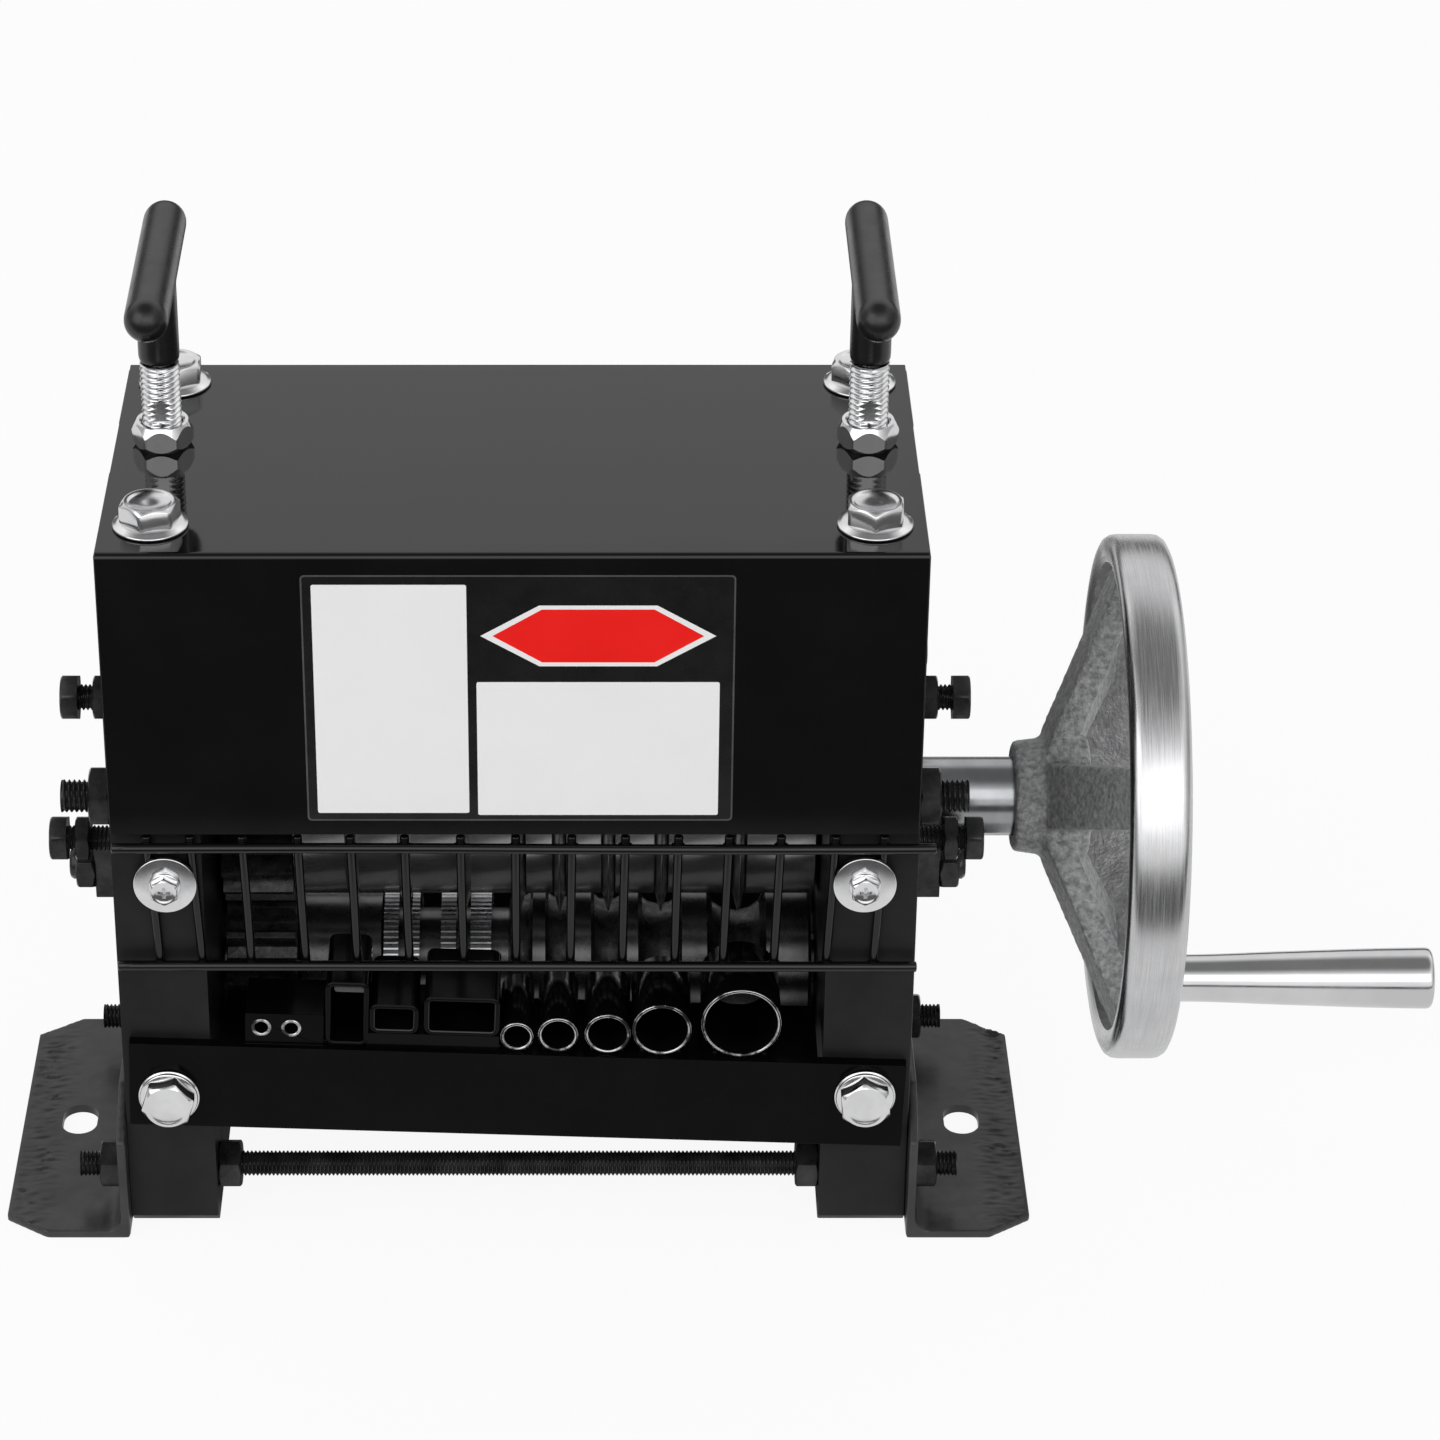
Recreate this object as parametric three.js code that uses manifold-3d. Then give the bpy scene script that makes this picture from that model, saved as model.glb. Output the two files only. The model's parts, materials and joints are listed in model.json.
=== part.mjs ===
import * as THREE from 'three';
import { mergeVertices } from 'three/addons/utils/BufferGeometryUtils.js';
import Module from 'manifold-3d';

// Hand crank wire stripper. Millimetres, +Z up, front towards -Y, crank towards +X.
const wasm = await Module();
wasm.setup();

// Side frames: two thick posts each, joined at the foot, with a slot for the bearing blocks.
const bodyHalf = 120.5;
const postWide = 27;
const postInner = bodyHalf - postWide;
const coverDepth = 126.6;
const sheet = 1.5;
const frameFront = 2;
const frameBack = coverDepth - sheet - 0.3;
const frameTop = 237;
const slotFront = (frameFront + frameBack) / 2 - 8.4;
const slotWide = 33;
const slotBack = slotFront + slotWide;
const slotFloor = 34;
const cornerCut = 4;

// Folded sheet cover, open at both sides.
const coverTop = frameTop + sheet;
const coverHalf = bodyHalf - 0.5;
const coverDrop = 94;
const foldRadius = 2;
const coverFoot = coverTop - coverDrop;

// Shafts: the crank drives the upper one, a pair of equal gears drives the lower one.
const shaftY = (slotFront + slotBack) / 2;
const gearTeeth = 20;
const gearModule = 3;
const pitchRadius = gearTeeth * gearModule / 2;
const upperZ = 115;
const lowerZ = upperZ - 2 * pitchRadius;
const shaftRadius = 12.4;
const journalRadius = 10;
const lowerShaftRadius = 8;
const clear = 0.3;
const gearLeft = 2 - postInner;
const gearWide = 22;

// Cutting discs, spacers between them and the grooved feed roller below.
const bladeRadius = 36;
const bladeThick = 3.6;
const edgeFlat = 0.5;
const spacerRadius = 30.4;
const rollerRadius = 23;
const stackEnd = postInner - 1.5;
const roundFeeds = [
  { x: 0.4, radius: 5.1 },
  { x: 12.9, radius: 6.15 },
  { x: 28, radius: 7.05 },
  { x: 44.4, radius: 9.1 },
  { x: 68.5, radius: 12.25 },
];
const flatBlades = [-51.2, -35, -16.5];
const knurledBands = [[-42.6, -38], [-33.8, -31.4], [-24.6, -19.9], [-15.3, -8.8]];

// Feed openings on the sloping front bar.
const barTop = 67;
const barTall = 29.8;
const barThick = 4;
const barFace = frameFront - barThick;
const barHalf = bodyHalf - 1.9;
const shelfThick = 3;
const shelfBack = 30;
const barTilt = THREE.MathUtils.degToRad(2);
const pipeFront = 0;
const pipeLong = 28;
const pipeShift = 1;
const pipeWall = 1.2;
const wallFlat = 1.6;
const flatRound = 2.6;
const flatFeeds = [
  { x: -52.4, wide: 13.2, tall: 23, lift: 0 },
  { x: -38.1, wide: 14.9, tall: 10.5, lift: 4.9 },
  { x: -17.5, wide: 23, tall: 13.8, lift: 4.9 },
];
const fineBlock = { left: -83.4, right: -59.4, tall: 11, back: 20, bore: 1.9, xs: [-78.4, -69.3] };

// Wire guard between the cover and the feed openings.
const wireRadius = 1.4;
const railRadius = 1.6;
const railTop = coverFoot - 4;
const railLow = railTop - 41.5;
const wireReach = bodyHalf - 12;
const wireLean = 0.02;
// The wires are welded by hand, so each stands a little off its even place.
const wireShifts = [0.2, -2.5, -3, -1.9, -1.9, -1.4, -0.4, 0.2, 1.2, 1.5, 1.8, 1.1, 1, 1.5, 0.3];
const guardPostY = frameFront - wireRadius;
const guardRailY = guardPostY - wireRadius - railRadius + 0.8;

// Fasteners.
const coverBoltX = bodyHalf - 15.3;
const coverBoltYs = [frameFront + 16.4, frameBack - 12.5];
const barBoltX = bodyHalf - 14;
const barBoltZ = barTop - 14.9;
const guardScrewX = bodyHalf - 16.1;
const guardScrewZ = (railTop + railLow) / 2 + 8.2;
const footThick = 3;
const lowerRod = { radius: 4, flat: 14, nut: 7, seat: bodyHalf + footThick, z: 15.5 };
const upperRod = { radius: 5, flat: 17, nut: 6.5, seat: bodyHalf, z: 149.5 };
lowerRod.places = { front: [frameFront + 12, bodyHalf + 16.5], back: [frameBack - 27.8, bodyHalf + 16.5] };
upperRod.places = { front: [frameFront + 12, bodyHalf + 15], back: [frameBack - 20.8, bodyHalf + 8] };
const sideBoltY = slotFront - 21;
const sideBoltRadius = 4;
const sideBoltFlats = 13;
const sideHead = 5.3;
const sideBolts = [
  { name: 'upper', z: frameTop - 65, head: bodyHalf + 10.5, nutFrom: bodyHalf, nutTo: bodyHalf + 6 },
  { name: 'lower', z: upperZ + 7.5, head: bodyHalf + 16.5, nutFrom: bodyHalf + 9.5, nutTo: bodyHalf + 14 },
];
const holeDeep = 16;
const clampY = slotFront - 7;
const clampZ = upperZ - 10;
const clampThick = 10;
const clampStud = 5;

// Tee handled screws that lift the blade shaft.
const studX = bodyHalf - 14.9;
const studRadius = 6;
const studPitch = 1.75;
const blockTop = 162;
const blockFoot = 95;
const sleeveFoot = coverTop + 27.5;
const barZ = coverTop + 55.5;
const barBall = 31.9;
const barTail = 37.5;
const sleeveRadius = 6.6;
const coreRadius = 4;
const snug = 0.1;

// Angle feet.
const footReach = 39.5;
const footTall = 48;
const footFront = frameFront - 7;
const footBack = frameBack - 10;
const footSlotRadius = 5.6;
const footSlotHalf = 2.5;

// Hand wheel and revolving crank handle.
const hubLeft = bodyHalf + 33.5;
const hubLong = 24;
const hubRight = hubLeft + hubLong;
const hubRadius = 17.3;
const rimLeft = hubLeft + 28.6;
const rimWide = 18.6;
const rimRight = rimLeft + rimWide;
const rimRadius = 82;
const rimThick = 8;
const rimInner = rimRadius - rimThick;
const shaftEnd = hubRight - 4;
const spokeCount = 5;
const spokeFirst = 30;
const spokeWide = 21;
const bossRadius = 9;
const crankRadius = rimInner - 6;
const spindleRadius = 4;
const gripLeft = rimRight + 2.5;
const gripLong = 87.7;
const gripRight = gripLeft + gripLong;
const spindleEnd = gripRight - 14;

const finish = {
  paint: [0x101112, 0.25, 0.3],
  satin: [0x2b2c2e, 0.5, 0.5],
  zinc: [0xc9ccd0, 0.25, 1],
  oxide: [0x17181a, 0.45, 0.8],
  steel: [0xb4b7ba, 0.3, 1],
  knurl: [0x8f9295, 0.4, 1],
  vinyl: [0x0d0d0e, 0.55, 0],
  cast: [0x8d9093, 0.6, 0.9],
  bronze: [0x4a4036, 0.5, 0.8],
};

// Turns a three.js geometry into a solid that can be cut and joined.
function toSolid(geometry) {
  const plain = geometry.index ? geometry.toNonIndexed() : geometry.clone();
  plain.deleteAttribute('normal');
  plain.deleteAttribute('uv');
  const welded = mergeVertices(plain, 1e-4);
  const corners = [];
  for (let i = 0; i < welded.index.count; i += 3) {
    const [a, b, c] = [0, 1, 2].map((k) => welded.index.getX(i + k));
    if (a !== b && b !== c && c !== a) corners.push(a, b, c);
  }
  const data = new wasm.Mesh({
    numProp: 3,
    vertProperties: new Float32Array(welded.attributes.position.array),
    triVerts: new Uint32Array(corners),
  });
  return new wasm.Manifold(data);
}

function toGeometry(solid) {
  const data = solid.getMesh();
  const geometry = new THREE.BufferGeometry();
  const points = new Float32Array(data.vertProperties);
  geometry.setAttribute('position', new THREE.BufferAttribute(points, 3));
  geometry.setIndex(Array.from(data.triVerts));
  geometry.computeVertexNormals();
  return geometry;
}

function join(parts) {
  return toGeometry(parts.map(toSolid).reduce((sum, next) => sum.add(next)));
}

function cut(body, tools) {
  return toGeometry(tools.map(toSolid).reduce((rest, tool) => rest.subtract(tool), toSolid(body)));
}

function box(x0, x1, y0, y1, z0, z1) {
  const block = new THREE.BoxGeometry(x1 - x0, y1 - y0, z1 - z0);
  return block.translate((x0 + x1) / 2, (y0 + y1) / 2, (z0 + z1) / 2);
}

// Lays a piece built along +Y onto another axis.
const turns = {
  x: (piece) => piece.rotateZ(-Math.PI / 2),
  minusX: (piece) => piece.rotateZ(Math.PI / 2),
  y: (piece) => piece,
  front: (piece) => piece.rotateX(Math.PI),
  z: (piece) => piece.rotateX(Math.PI / 2),
};

function rod(axis, radius, from, to, a, b, sides = 10) {
  const piece = new THREE.CylinderGeometry(radius, radius, to - from, sides);
  turns[axis](piece.translate(0, (from + to) / 2, 0));
  if (axis === 'x') return piece.translate(0, a, b);
  if (axis === 'y') return piece.translate(a, 0, b);
  return piece.translate(a, b, 0);
}

// Prism with six flats, built along +Y between two heights.
function hexagon(flats, from, to) {
  const radius = flats / Math.sqrt(3);
  return new THREE.CylinderGeometry(radius, radius, to - from, 6).translate(0, (from + to) / 2, 0);
}

function turned(profile, sides = 20) {
  return new THREE.LatheGeometry(profile.map(([r, h]) => new THREE.Vector2(r, h)), sides);
}

// Flange bolt built along +Y with its seat at zero and a hexagon head.
function flangeBolt({ flats, flange, head, shank, long, plate = 2 }) {
  const corner = flats / Math.sqrt(3);
  const skirt = turned([[0, 0], [flange, 0], [flange, plate * 0.4], [corner, plate], [0, plate]], 16);
  const rounder = turned([[0, 0], [corner + 1, 0], [corner + 0.3, head - 2], [flats / 2 - 0.4, head], [0, head]], 12);
  const crown = toSolid(hexagon(flats, plate / 2, head)).intersect(toSolid(rounder));
  const stem = turned([[0, -long], [shank, -long], [shank, 0.5], [0, 0.5]], 8);
  return toGeometry(toSolid(skirt).add(crown).add(toSolid(stem)));
}

// Plain nut built along +Y between two heights, its corners turned off at both faces.
function nut(flats, from, to) {
  const corner = flats / Math.sqrt(3);
  const turnedOff = turned([
    [0, from], [flats / 2, from], [corner + 0.1, from + 1], [corner + 0.1, to - 1], [flats / 2, to], [0, to],
  ], 12);
  return toGeometry(toSolid(hexagon(flats, from, to)).intersect(toSolid(turnedOff)));
}

function meshOf(name, geometry, [color, roughness, metalness]) {
  const material = new THREE.MeshStandardMaterial({ color, roughness, metalness });
  const mesh = new THREE.Mesh(geometry, material);
  mesh.name = name;
  return mesh;
}

const pieces = [];
const sides = [['left', -1], ['right', 1]];

function add(name, geometry, look) {
  pieces.push(meshOf(name, geometry, look));
}

// A block on one side of the machine, given by its distances from the middle.
function sideBox(side, in0, in1, y0, y1, z0, z1) {
  return side < 0 ? box(-in1, -in0, y0, y1, z0, z1) : box(in0, in1, y0, y1, z0, z1);
}

function sideRod(side, radius, in0, in1, y, z, count) {
  return side < 0 ? rod('x', radius, -in1, -in0, y, z, count) : rod('x', radius, in0, in1, y, z, count);
}

function sideFrame(side) {
  const outline = new THREE.Shape();
  outline.moveTo(frameFront + cornerCut, 0);
  outline.lineTo(frameBack - cornerCut, 0);
  outline.lineTo(frameBack, cornerCut);
  outline.lineTo(frameBack, frameTop);
  outline.lineTo(slotBack, frameTop);
  outline.lineTo(slotBack, slotFloor);
  outline.lineTo(slotFront, slotFloor);
  outline.lineTo(slotFront, frameTop);
  outline.lineTo(frameFront, frameTop);
  outline.lineTo(frameFront, cornerCut);
  outline.closePath();
  const body = new THREE.ExtrudeGeometry(outline, { depth: postWide, bevelEnabled: false });
  body.rotateY(Math.PI / 2).rotateX(Math.PI / 2).translate(side < 0 ? -bodyHalf : postInner, 0, 0);
  const holes = [];
  for (const y of coverBoltYs) holes.push(rod('z', 5 + clear, frameTop - 24, frameTop + 1, side * coverBoltX, y));
  for (const { radius, z, places } of [lowerRod, upperRod]) {
    for (const [y] of Object.values(places)) holes.push(sideRod(side, radius + clear, postInner - 1, bodyHalf + 1, y, z));
  }
  holes.push(rod('y', 4 + clear, frameFront - 1, frameFront + 18, side * barBoltX, barBoltZ));
  holes.push(rod('y', 2.5 + clear, frameFront - 1, frameFront + 12, side * guardScrewX, guardScrewZ));
  const mouth = [bodyHalf - holeDeep, bodyHalf + 1];
  for (const { z } of sideBolts) holes.push(sideRod(side, sideBoltRadius + clear, ...mouth, sideBoltY, z));
  holes.push(sideRod(side, clampStud + clear, ...mouth, clampY, clampZ));
  return cut(body, holes);
}

function topCover() {
  const outline = new THREE.Shape();
  outline.moveTo(0, coverFoot);
  outline.lineTo(0, coverTop - foldRadius);
  outline.quadraticCurveTo(0, coverTop, foldRadius, coverTop);
  outline.lineTo(coverDepth - foldRadius, coverTop);
  outline.quadraticCurveTo(coverDepth, coverTop, coverDepth, coverTop - foldRadius);
  outline.lineTo(coverDepth, coverFoot);
  outline.lineTo(coverDepth - sheet, coverFoot);
  outline.lineTo(coverDepth - sheet, frameTop);
  outline.lineTo(sheet, frameTop);
  outline.lineTo(sheet, coverFoot);
  outline.closePath();
  const settings = { depth: 2 * coverHalf, bevelEnabled: false, curveSegments: 4 };
  const folded = new THREE.ExtrudeGeometry(outline, settings);
  folded.rotateY(Math.PI / 2).rotateX(Math.PI / 2).translate(-coverHalf, 0, 0);
  const holes = [];
  for (const [, side] of sides) {
    for (const y of coverBoltYs) holes.push(rod('z', 5 + clear, frameTop - 1, coverTop + 1, side * coverBoltX, y));
    holes.push(rod('z', studRadius + clear, frameTop - 1, coverTop + 1, side * studX, shaftY, 12));
  }
  return cut(folded, holes);
}

// Tips a piece of the feed bar about the middle of its face.
function tip(geometry) {
  const height = barTop - barTall / 2;
  return geometry.translate(0, 0, -height).rotateY(barTilt).translate(0, 0, height);
}

function frontBar() {
  const face = box(-barHalf, barHalf, barFace, frameFront, barTop - barTall, barTop);
  const shelfHalf = postInner - 2;
  const shelf = box(-shelfHalf, shelfHalf, frameFront - 0.5, shelfBack, barTop - shelfThick, barTop);
  const holes = [-1, 1].map((side) => rod('y', 4 + clear, barFace - 1, frameFront + 1, side * barBoltX, barBoltZ));
  const { left, right, tall, back, bore, xs } = fineBlock;
  const block = box(left, right, pipeFront, back, barTop - 0.5, barTop + tall);
  const bores = xs.map((x) => rod('y', bore, pipeFront - 1, back + 1, x, barTop + 6, 16));
  return cut(tip(cut(join([face, shelf, block]), bores)), holes);
}

// Plain bar across the back of the posts, its corners cut off.
function rearBar() {
  const [a, b] = [barHalf, barTall / 2];
  const cutOff = cornerCut;
  const outline = new THREE.Shape([
    [-a, cutOff - b], [cutOff - a, -b], [a - cutOff, -b], [a, cutOff - b],
    [a, b - cutOff], [a - cutOff, b], [cutOff - a, b], [-a, b - cutOff],
  ].map(([x, z]) => new THREE.Vector2(x, z)));
  const bar = new THREE.ExtrudeGeometry(outline, { depth: barThick, bevelEnabled: false });
  return bar.rotateX(Math.PI / 2).translate(0, frameBack + barThick, barTop - b);
}

function roundFeed({ x, radius }) {
  const z = barTop + radius;
  const tube = turned([
    [radius - pipeWall, 0], [radius, 0], [radius, pipeLong], [radius - pipeWall, pipeLong], [radius - pipeWall, 0],
  ], 20);
  return tip(tube.translate(x - pipeShift, pipeFront, z));
}

// Rectangular bar with rounded corners, running from front to back.
function roundBar(wide, tall, corner, from, to, x, z) {
  const [a, b] = [wide / 2, tall / 2];
  const outline = new THREE.Shape();
  outline.moveTo(-a, corner - b);
  outline.absarc(corner - a, corner - b, corner, Math.PI, 1.5 * Math.PI);
  outline.absarc(a - corner, corner - b, corner, -Math.PI / 2, 0);
  outline.absarc(a - corner, b - corner, corner, 0, Math.PI / 2);
  outline.absarc(corner - a, b - corner, corner, Math.PI / 2, Math.PI);
  const bar = new THREE.ExtrudeGeometry(outline, { depth: to - from, bevelEnabled: false, curveSegments: 3 });
  return bar.rotateX(Math.PI / 2).translate(x, to, z);
}

function flatFeed() {
  const [first, , last] = flatFeeds;
  const plateLeft = first.x + first.wide / 2 - wallFlat / 2;
  const plateRight = last.x + last.wide / 2;
  const plate = box(plateLeft, plateRight, pipeFront, pipeLong, barTop, barTop + last.lift + 0.4);
  const shells = [plate];
  const bores = [];
  for (const { x, wide, tall, lift } of flatFeeds) {
    const foot = barTop + lift;
    const middle = foot + tall / 2;
    shells.push(roundBar(wide, tall, flatRound, pipeFront, pipeLong, x, middle));
    const bore = [wide - 2 * wallFlat, tall - 2 * wallFlat, flatRound - wallFlat];
    bores.push(roundBar(...bore, pipeFront - 1, pipeLong + 1, x, middle));
  }
  return tip(cut(join(shells), bores));
}

function wireGuard() {
  const parts = [];
  for (const z of [railTop, railLow]) {
    parts.push(rod('x', railRadius, -bodyHalf + 1, bodyHalf + (z === railTop ? 4.5 : 0), guardRailY, z, 6));
  }
  const pitch = 2 * wireReach / (wireShifts.length - 1);
  wireShifts.forEach((shift, i) => {
    const x = i * pitch - wireReach + shift;
    const [middle, half] = [(railTop + railLow) / 2, (railTop - railLow) / 2];
    const wire = rod('z', wireRadius, -half - 1.5, half + 3, 0, guardPostY, 6);
    parts.push(wire.rotateY(wireLean * x / (2 * half)).translate(x, 0, middle));
  });
  return join(parts);
}

function guardScrew(side) {
  const washer = turned([[0, 0], [9.5, 0], [9.5, 1.6], [0, 1.6]], 16);
  const head = flangeBolt({ flats: 8, flange: 4.8, head: 4.4, shank: 2.5, long: 9, plate: 1.2 });
  const seat = guardPostY - wireRadius;
  const cross = [box(-2, 2, 3, 5, -0.5, 0.5), box(-0.5, 0.5, 3, 5, -2, 2)];
  const whole = cut(join([washer, head.translate(0, 1.55, 0)]), cross.map((slot) => slot.translate(0, 1.55, 0)));
  return turns.front(whole).translate(side * guardScrewX, seat, guardScrewZ);
}

function tieRod(spec, [y, end]) {
  const { radius, flat, seat, z } = spec;
  const bar = turned([
    [0, -end], [radius - 0.8, -end], [radius, 0.8 - end], [radius, end - 0.8], [radius - 0.8, end], [0, end],
  ], 10);
  const parts = [bar];
  for (const [, side] of sides) {
    for (const from of [seat, postInner - spec.nut]) {
      const ends = [side * from, side * (from + spec.nut)];
      parts.push(hexagon(flat, Math.min(...ends), Math.max(...ends)));
    }
  }
  return turns.x(join(parts)).translate(0, y, z);
}

function sideBolt(side, spec) {
  const head = nut(sideBoltFlats, spec.head, spec.head + sideHead);
  const jam = hexagon(sideBoltFlats, spec.nutFrom, spec.nutTo);
  const foot = bodyHalf - holeDeep + 2;
  const r = sideBoltRadius;
  const stem = turned([[0, foot], [r, foot], [r, spec.head + 0.5], [0, spec.head + 0.5]], 8);
  const whole = join([head, jam, stem]);
  return turns[side < 0 ? 'minusX' : 'x'](whole).translate(0, sideBoltY, spec.z);
}

// Stop block held on the post by its own stud and nut.
function clampBlock(side) {
  const seat = bodyHalf + clampThick;
  const body = box(-9, 9, bodyHalf, seat, -6, 6).rotateY(Math.PI / 2);
  const foot = bodyHalf - holeDeep + 2;
  const r = clampStud;
  const stem = turned([[0, foot], [r, foot], [r, seat + 7], [r - 0.8, seat + 8], [0, seat + 8]], 10);
  const whole = join([body, nut(3 * r, seat - 0.2, seat + 5.8), stem]);
  return turns[side < 0 ? 'minusX' : 'x'](whole).translate(0, clampY, clampZ);
}

function foot(side) {
  const wing = new THREE.Shape();
  const outerX = footReach;
  wing.moveTo(0, footFront);
  wing.lineTo(outerX - 13, footFront);
  wing.lineTo(outerX, footFront + 9);
  wing.lineTo(outerX, footBack - 9.5);
  wing.lineTo(outerX - 14, footBack);
  wing.lineTo(0, footBack);
  wing.closePath();
  const slot = new THREE.Path();
  const slotX = (footThick + outerX) / 2;
  const slotY = (footFront + footBack) / 2 + 1;
  slot.absarc(slotX, slotY + footSlotHalf, footSlotRadius, 0, Math.PI, false);
  slot.absarc(slotX, slotY - footSlotHalf, footSlotRadius, Math.PI, 2 * Math.PI, false);
  slot.closePath();
  wing.holes.push(slot);
  const flat = new THREE.ExtrudeGeometry(wing, { depth: footThick, bevelEnabled: false, curveSegments: 8 });
  const upright = new THREE.Shape();
  upright.moveTo(footFront, 0);
  upright.lineTo(footBack, 0);
  upright.lineTo(footBack, footTall - 10);
  upright.lineTo(footBack - 16, footTall);
  upright.lineTo(footFront + 16, footTall);
  upright.lineTo(footFront, footTall - 12);
  upright.closePath();
  const web = new THREE.ExtrudeGeometry(upright, { depth: footThick, bevelEnabled: false });
  web.rotateY(Math.PI / 2).rotateX(Math.PI / 2);
  const fillet = new THREE.Shape();
  fillet.moveTo(footThick - 0.5, footThick - 0.5);
  fillet.lineTo(footThick + 4, footThick - 0.5);
  fillet.lineTo(footThick + 4, footThick);
  fillet.quadraticCurveTo(footThick, footThick, footThick, footThick + 4);
  fillet.lineTo(footThick - 0.5, footThick + 4);
  fillet.closePath();
  const root = new THREE.ExtrudeGeometry(fillet, { depth: footBack - footFront, bevelEnabled: false, curveSegments: 4 });
  root.rotateX(Math.PI / 2).translate(0, footBack, 0);
  const holes = Object.values(lowerRod.places).map(([y]) => (
    rod('x', lowerRod.radius + clear, -1, footThick + 6, y, lowerRod.z)
  ));
  const whole = cut(join([flat, web, root]), holes).translate(bodyHalf, 0, 0);
  return side < 0 ? mirrored(whole) : whole;
}

// The same piece for the other side of the machine.
function mirrored(geometry) {
  const copy = geometry.clone().scale(-1, 1, 1);
  const corners = Array.from(geometry.index.array);
  for (let i = 0; i < corners.length; i += 3) [corners[i], corners[i + 1]] = [corners[i + 1], corners[i]];
  copy.setIndex(corners);
  copy.computeVertexNormals();
  return copy;
}

// Tee screw: threaded stud with a turned flange that carries the bearing block.
function teeScrew() {
  const threadTop = sleeveFoot - snug;
  const foot = blockTop - 12;
  const profile = [[0, foot], [studRadius + 3, foot], [studRadius + 3, foot + 3], [studRadius - 1, foot + 3]];
  profile.push([studRadius - 1, blockTop + 2], [studRadius, blockTop + 2]);
  const ringFrom = coverTop + 9;
  profile.push([studRadius, ringFrom]);
  const turnsShown = Math.floor((threadTop - 1 - ringFrom) / studPitch);
  for (let i = 0; i < turnsShown; i += 1) {
    const z = ringFrom + i * studPitch;
    profile.push([studRadius - 0.9, z + studPitch * 0.5], [studRadius, z + studPitch]);
  }
  profile.push([studRadius - 0.9, threadTop], [coreRadius, threadTop], [coreRadius, barZ], [0, barZ]);
  const stud = turns.z(turned(profile, 10));
  const cross = rod('y', coreRadius, -barBall, barTail, 0, barZ, 8);
  return join([stud, cross]);
}

// Dipped vinyl sleeve over the whole tee.
function teeGrip() {
  const r = sleeveRadius;
  const bar = [[0, -barBall - r]];
  const steps = [1, 2, 3, 4].map((i) => i * Math.PI / 8);
  for (const angle of steps) bar.push([r * Math.sin(angle), -barBall - r * Math.cos(angle)]);
  for (const angle of steps) bar.push([r * Math.cos(angle - steps[0]), barTail + r * Math.sin(angle - steps[0])]);
  bar.push([0, barTail + r]);
  const cross = turned(bar, 12).translate(0, 0, barZ);
  const stem = turns.z(turned([[0, sleeveFoot], [r - 0.8, sleeveFoot], [r - 0.3, sleeveFoot + 1], [r - 0.3, barZ], [0, barZ]], 12));
  const coreStem = rod('z', coreRadius + snug, sleeveFoot - 1, barZ, 0, 0);
  const coreBore = rod('y', coreRadius + snug, -barBall - snug, barTail + snug, 0, barZ, 8);
  return cut(join([cross, stem]), [coreStem, coreBore]);
}

function lockNut() {
  const ring = turns.z(nut(16.5, coverTop, coverTop + 8)).rotateZ(Math.PI / 6);
  return cut(ring, [rod('z', studRadius + clear, coverTop - 1, coverTop + 9, 0, 0, 12)]);
}

function bearingBlock(side, from, to, centre, bore) {
  const half = (slotBack - slotFront) / 2 - clear;
  const body = sideBox(side, postInner, bodyHalf - clear, shaftY - half, shaftY + half, from, to);
  return cut(body, [sideRod(side, bore, postInner - 1, bodyHalf + 1, shaftY, centre, 20)]);
}

// The upper block also has a stepped pocket from above for the tee screw's flange.
function upperBlock(side) {
  const foot = blockTop - 12;
  const bore = (side < 0 ? journalRadius : shaftRadius) + clear;
  const body = bearingBlock(side, blockFoot, blockTop, upperZ, bore);
  const neck = rod('z', studRadius - 1 + clear, foot, blockTop + 1, side * studX, shaftY, 12);
  const pocket = rod('z', studRadius + 3 + clear, foot - clear, foot + 3 + clear, side * studX, shaftY, 16);
  const [x, front] = [side * studX, shaftY - 20];
  const wide = studRadius + 3 + clear;
  const slim = studRadius - 1 + clear;
  const entry = box(x - wide, x + wide, front, shaftY, foot - clear, foot + 3 + clear);
  const lane = box(x - slim, x + slim, front, shaftY, foot, blockTop + 1);
  return cut(body, [neck, pocket, entry, lane]);
}

function bladeShaft() {
  const left = -bodyHalf + 1;
  const profile = [
    [0, left], [journalRadius - 1, left], [journalRadius, left + 1], [journalRadius, clear - postInner],
    [shaftRadius, clear - postInner], [shaftRadius, shaftEnd - 1], [shaftRadius - 1, shaftEnd], [0, shaftEnd],
  ];
  return turns.x(turned(profile, 20)).translate(0, shaftY, upperZ);
}

// Involute tooth flank points for one gear, with a little backlash.
function gear(z, bore, phase) {
  const pressure = THREE.MathUtils.degToRad(20);
  const base = pitchRadius * Math.cos(pressure);
  const tipRadius = pitchRadius + gearModule * 0.95;
  const rootRadius = pitchRadius - gearModule * 1.25;
  const involute = (r) => {
    const angle = Math.acos(Math.min(1, base / r));
    return Math.tan(angle) - angle;
  };
  const halfTooth = Math.PI / (2 * gearTeeth) - 0.14 / pitchRadius;
  const flank = (r) => halfTooth + involute(pitchRadius) - involute(Math.max(r, base));
  const steps = [rootRadius, base, pitchRadius, tipRadius];
  const outline = new THREE.Shape();
  for (let i = 0; i < gearTeeth; i += 1) {
    const middle = phase + i * 2 * Math.PI / gearTeeth;
    for (const r of steps) addPoint(outline, r, middle - flank(r));
    for (const r of [...steps].reverse()) addPoint(outline, r, middle + flank(r));
  }
  outline.closePath();
  const hole = new THREE.Path();
  hole.absarc(0, 0, bore, 0, 2 * Math.PI, true);
  outline.holes.push(hole);
  const body = new THREE.ExtrudeGeometry(outline, { depth: gearWide, bevelEnabled: false, curveSegments: 14 });
  return body.rotateY(Math.PI / 2).rotateX(Math.PI / 2).translate(gearLeft, shaftY, z);
}

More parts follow.
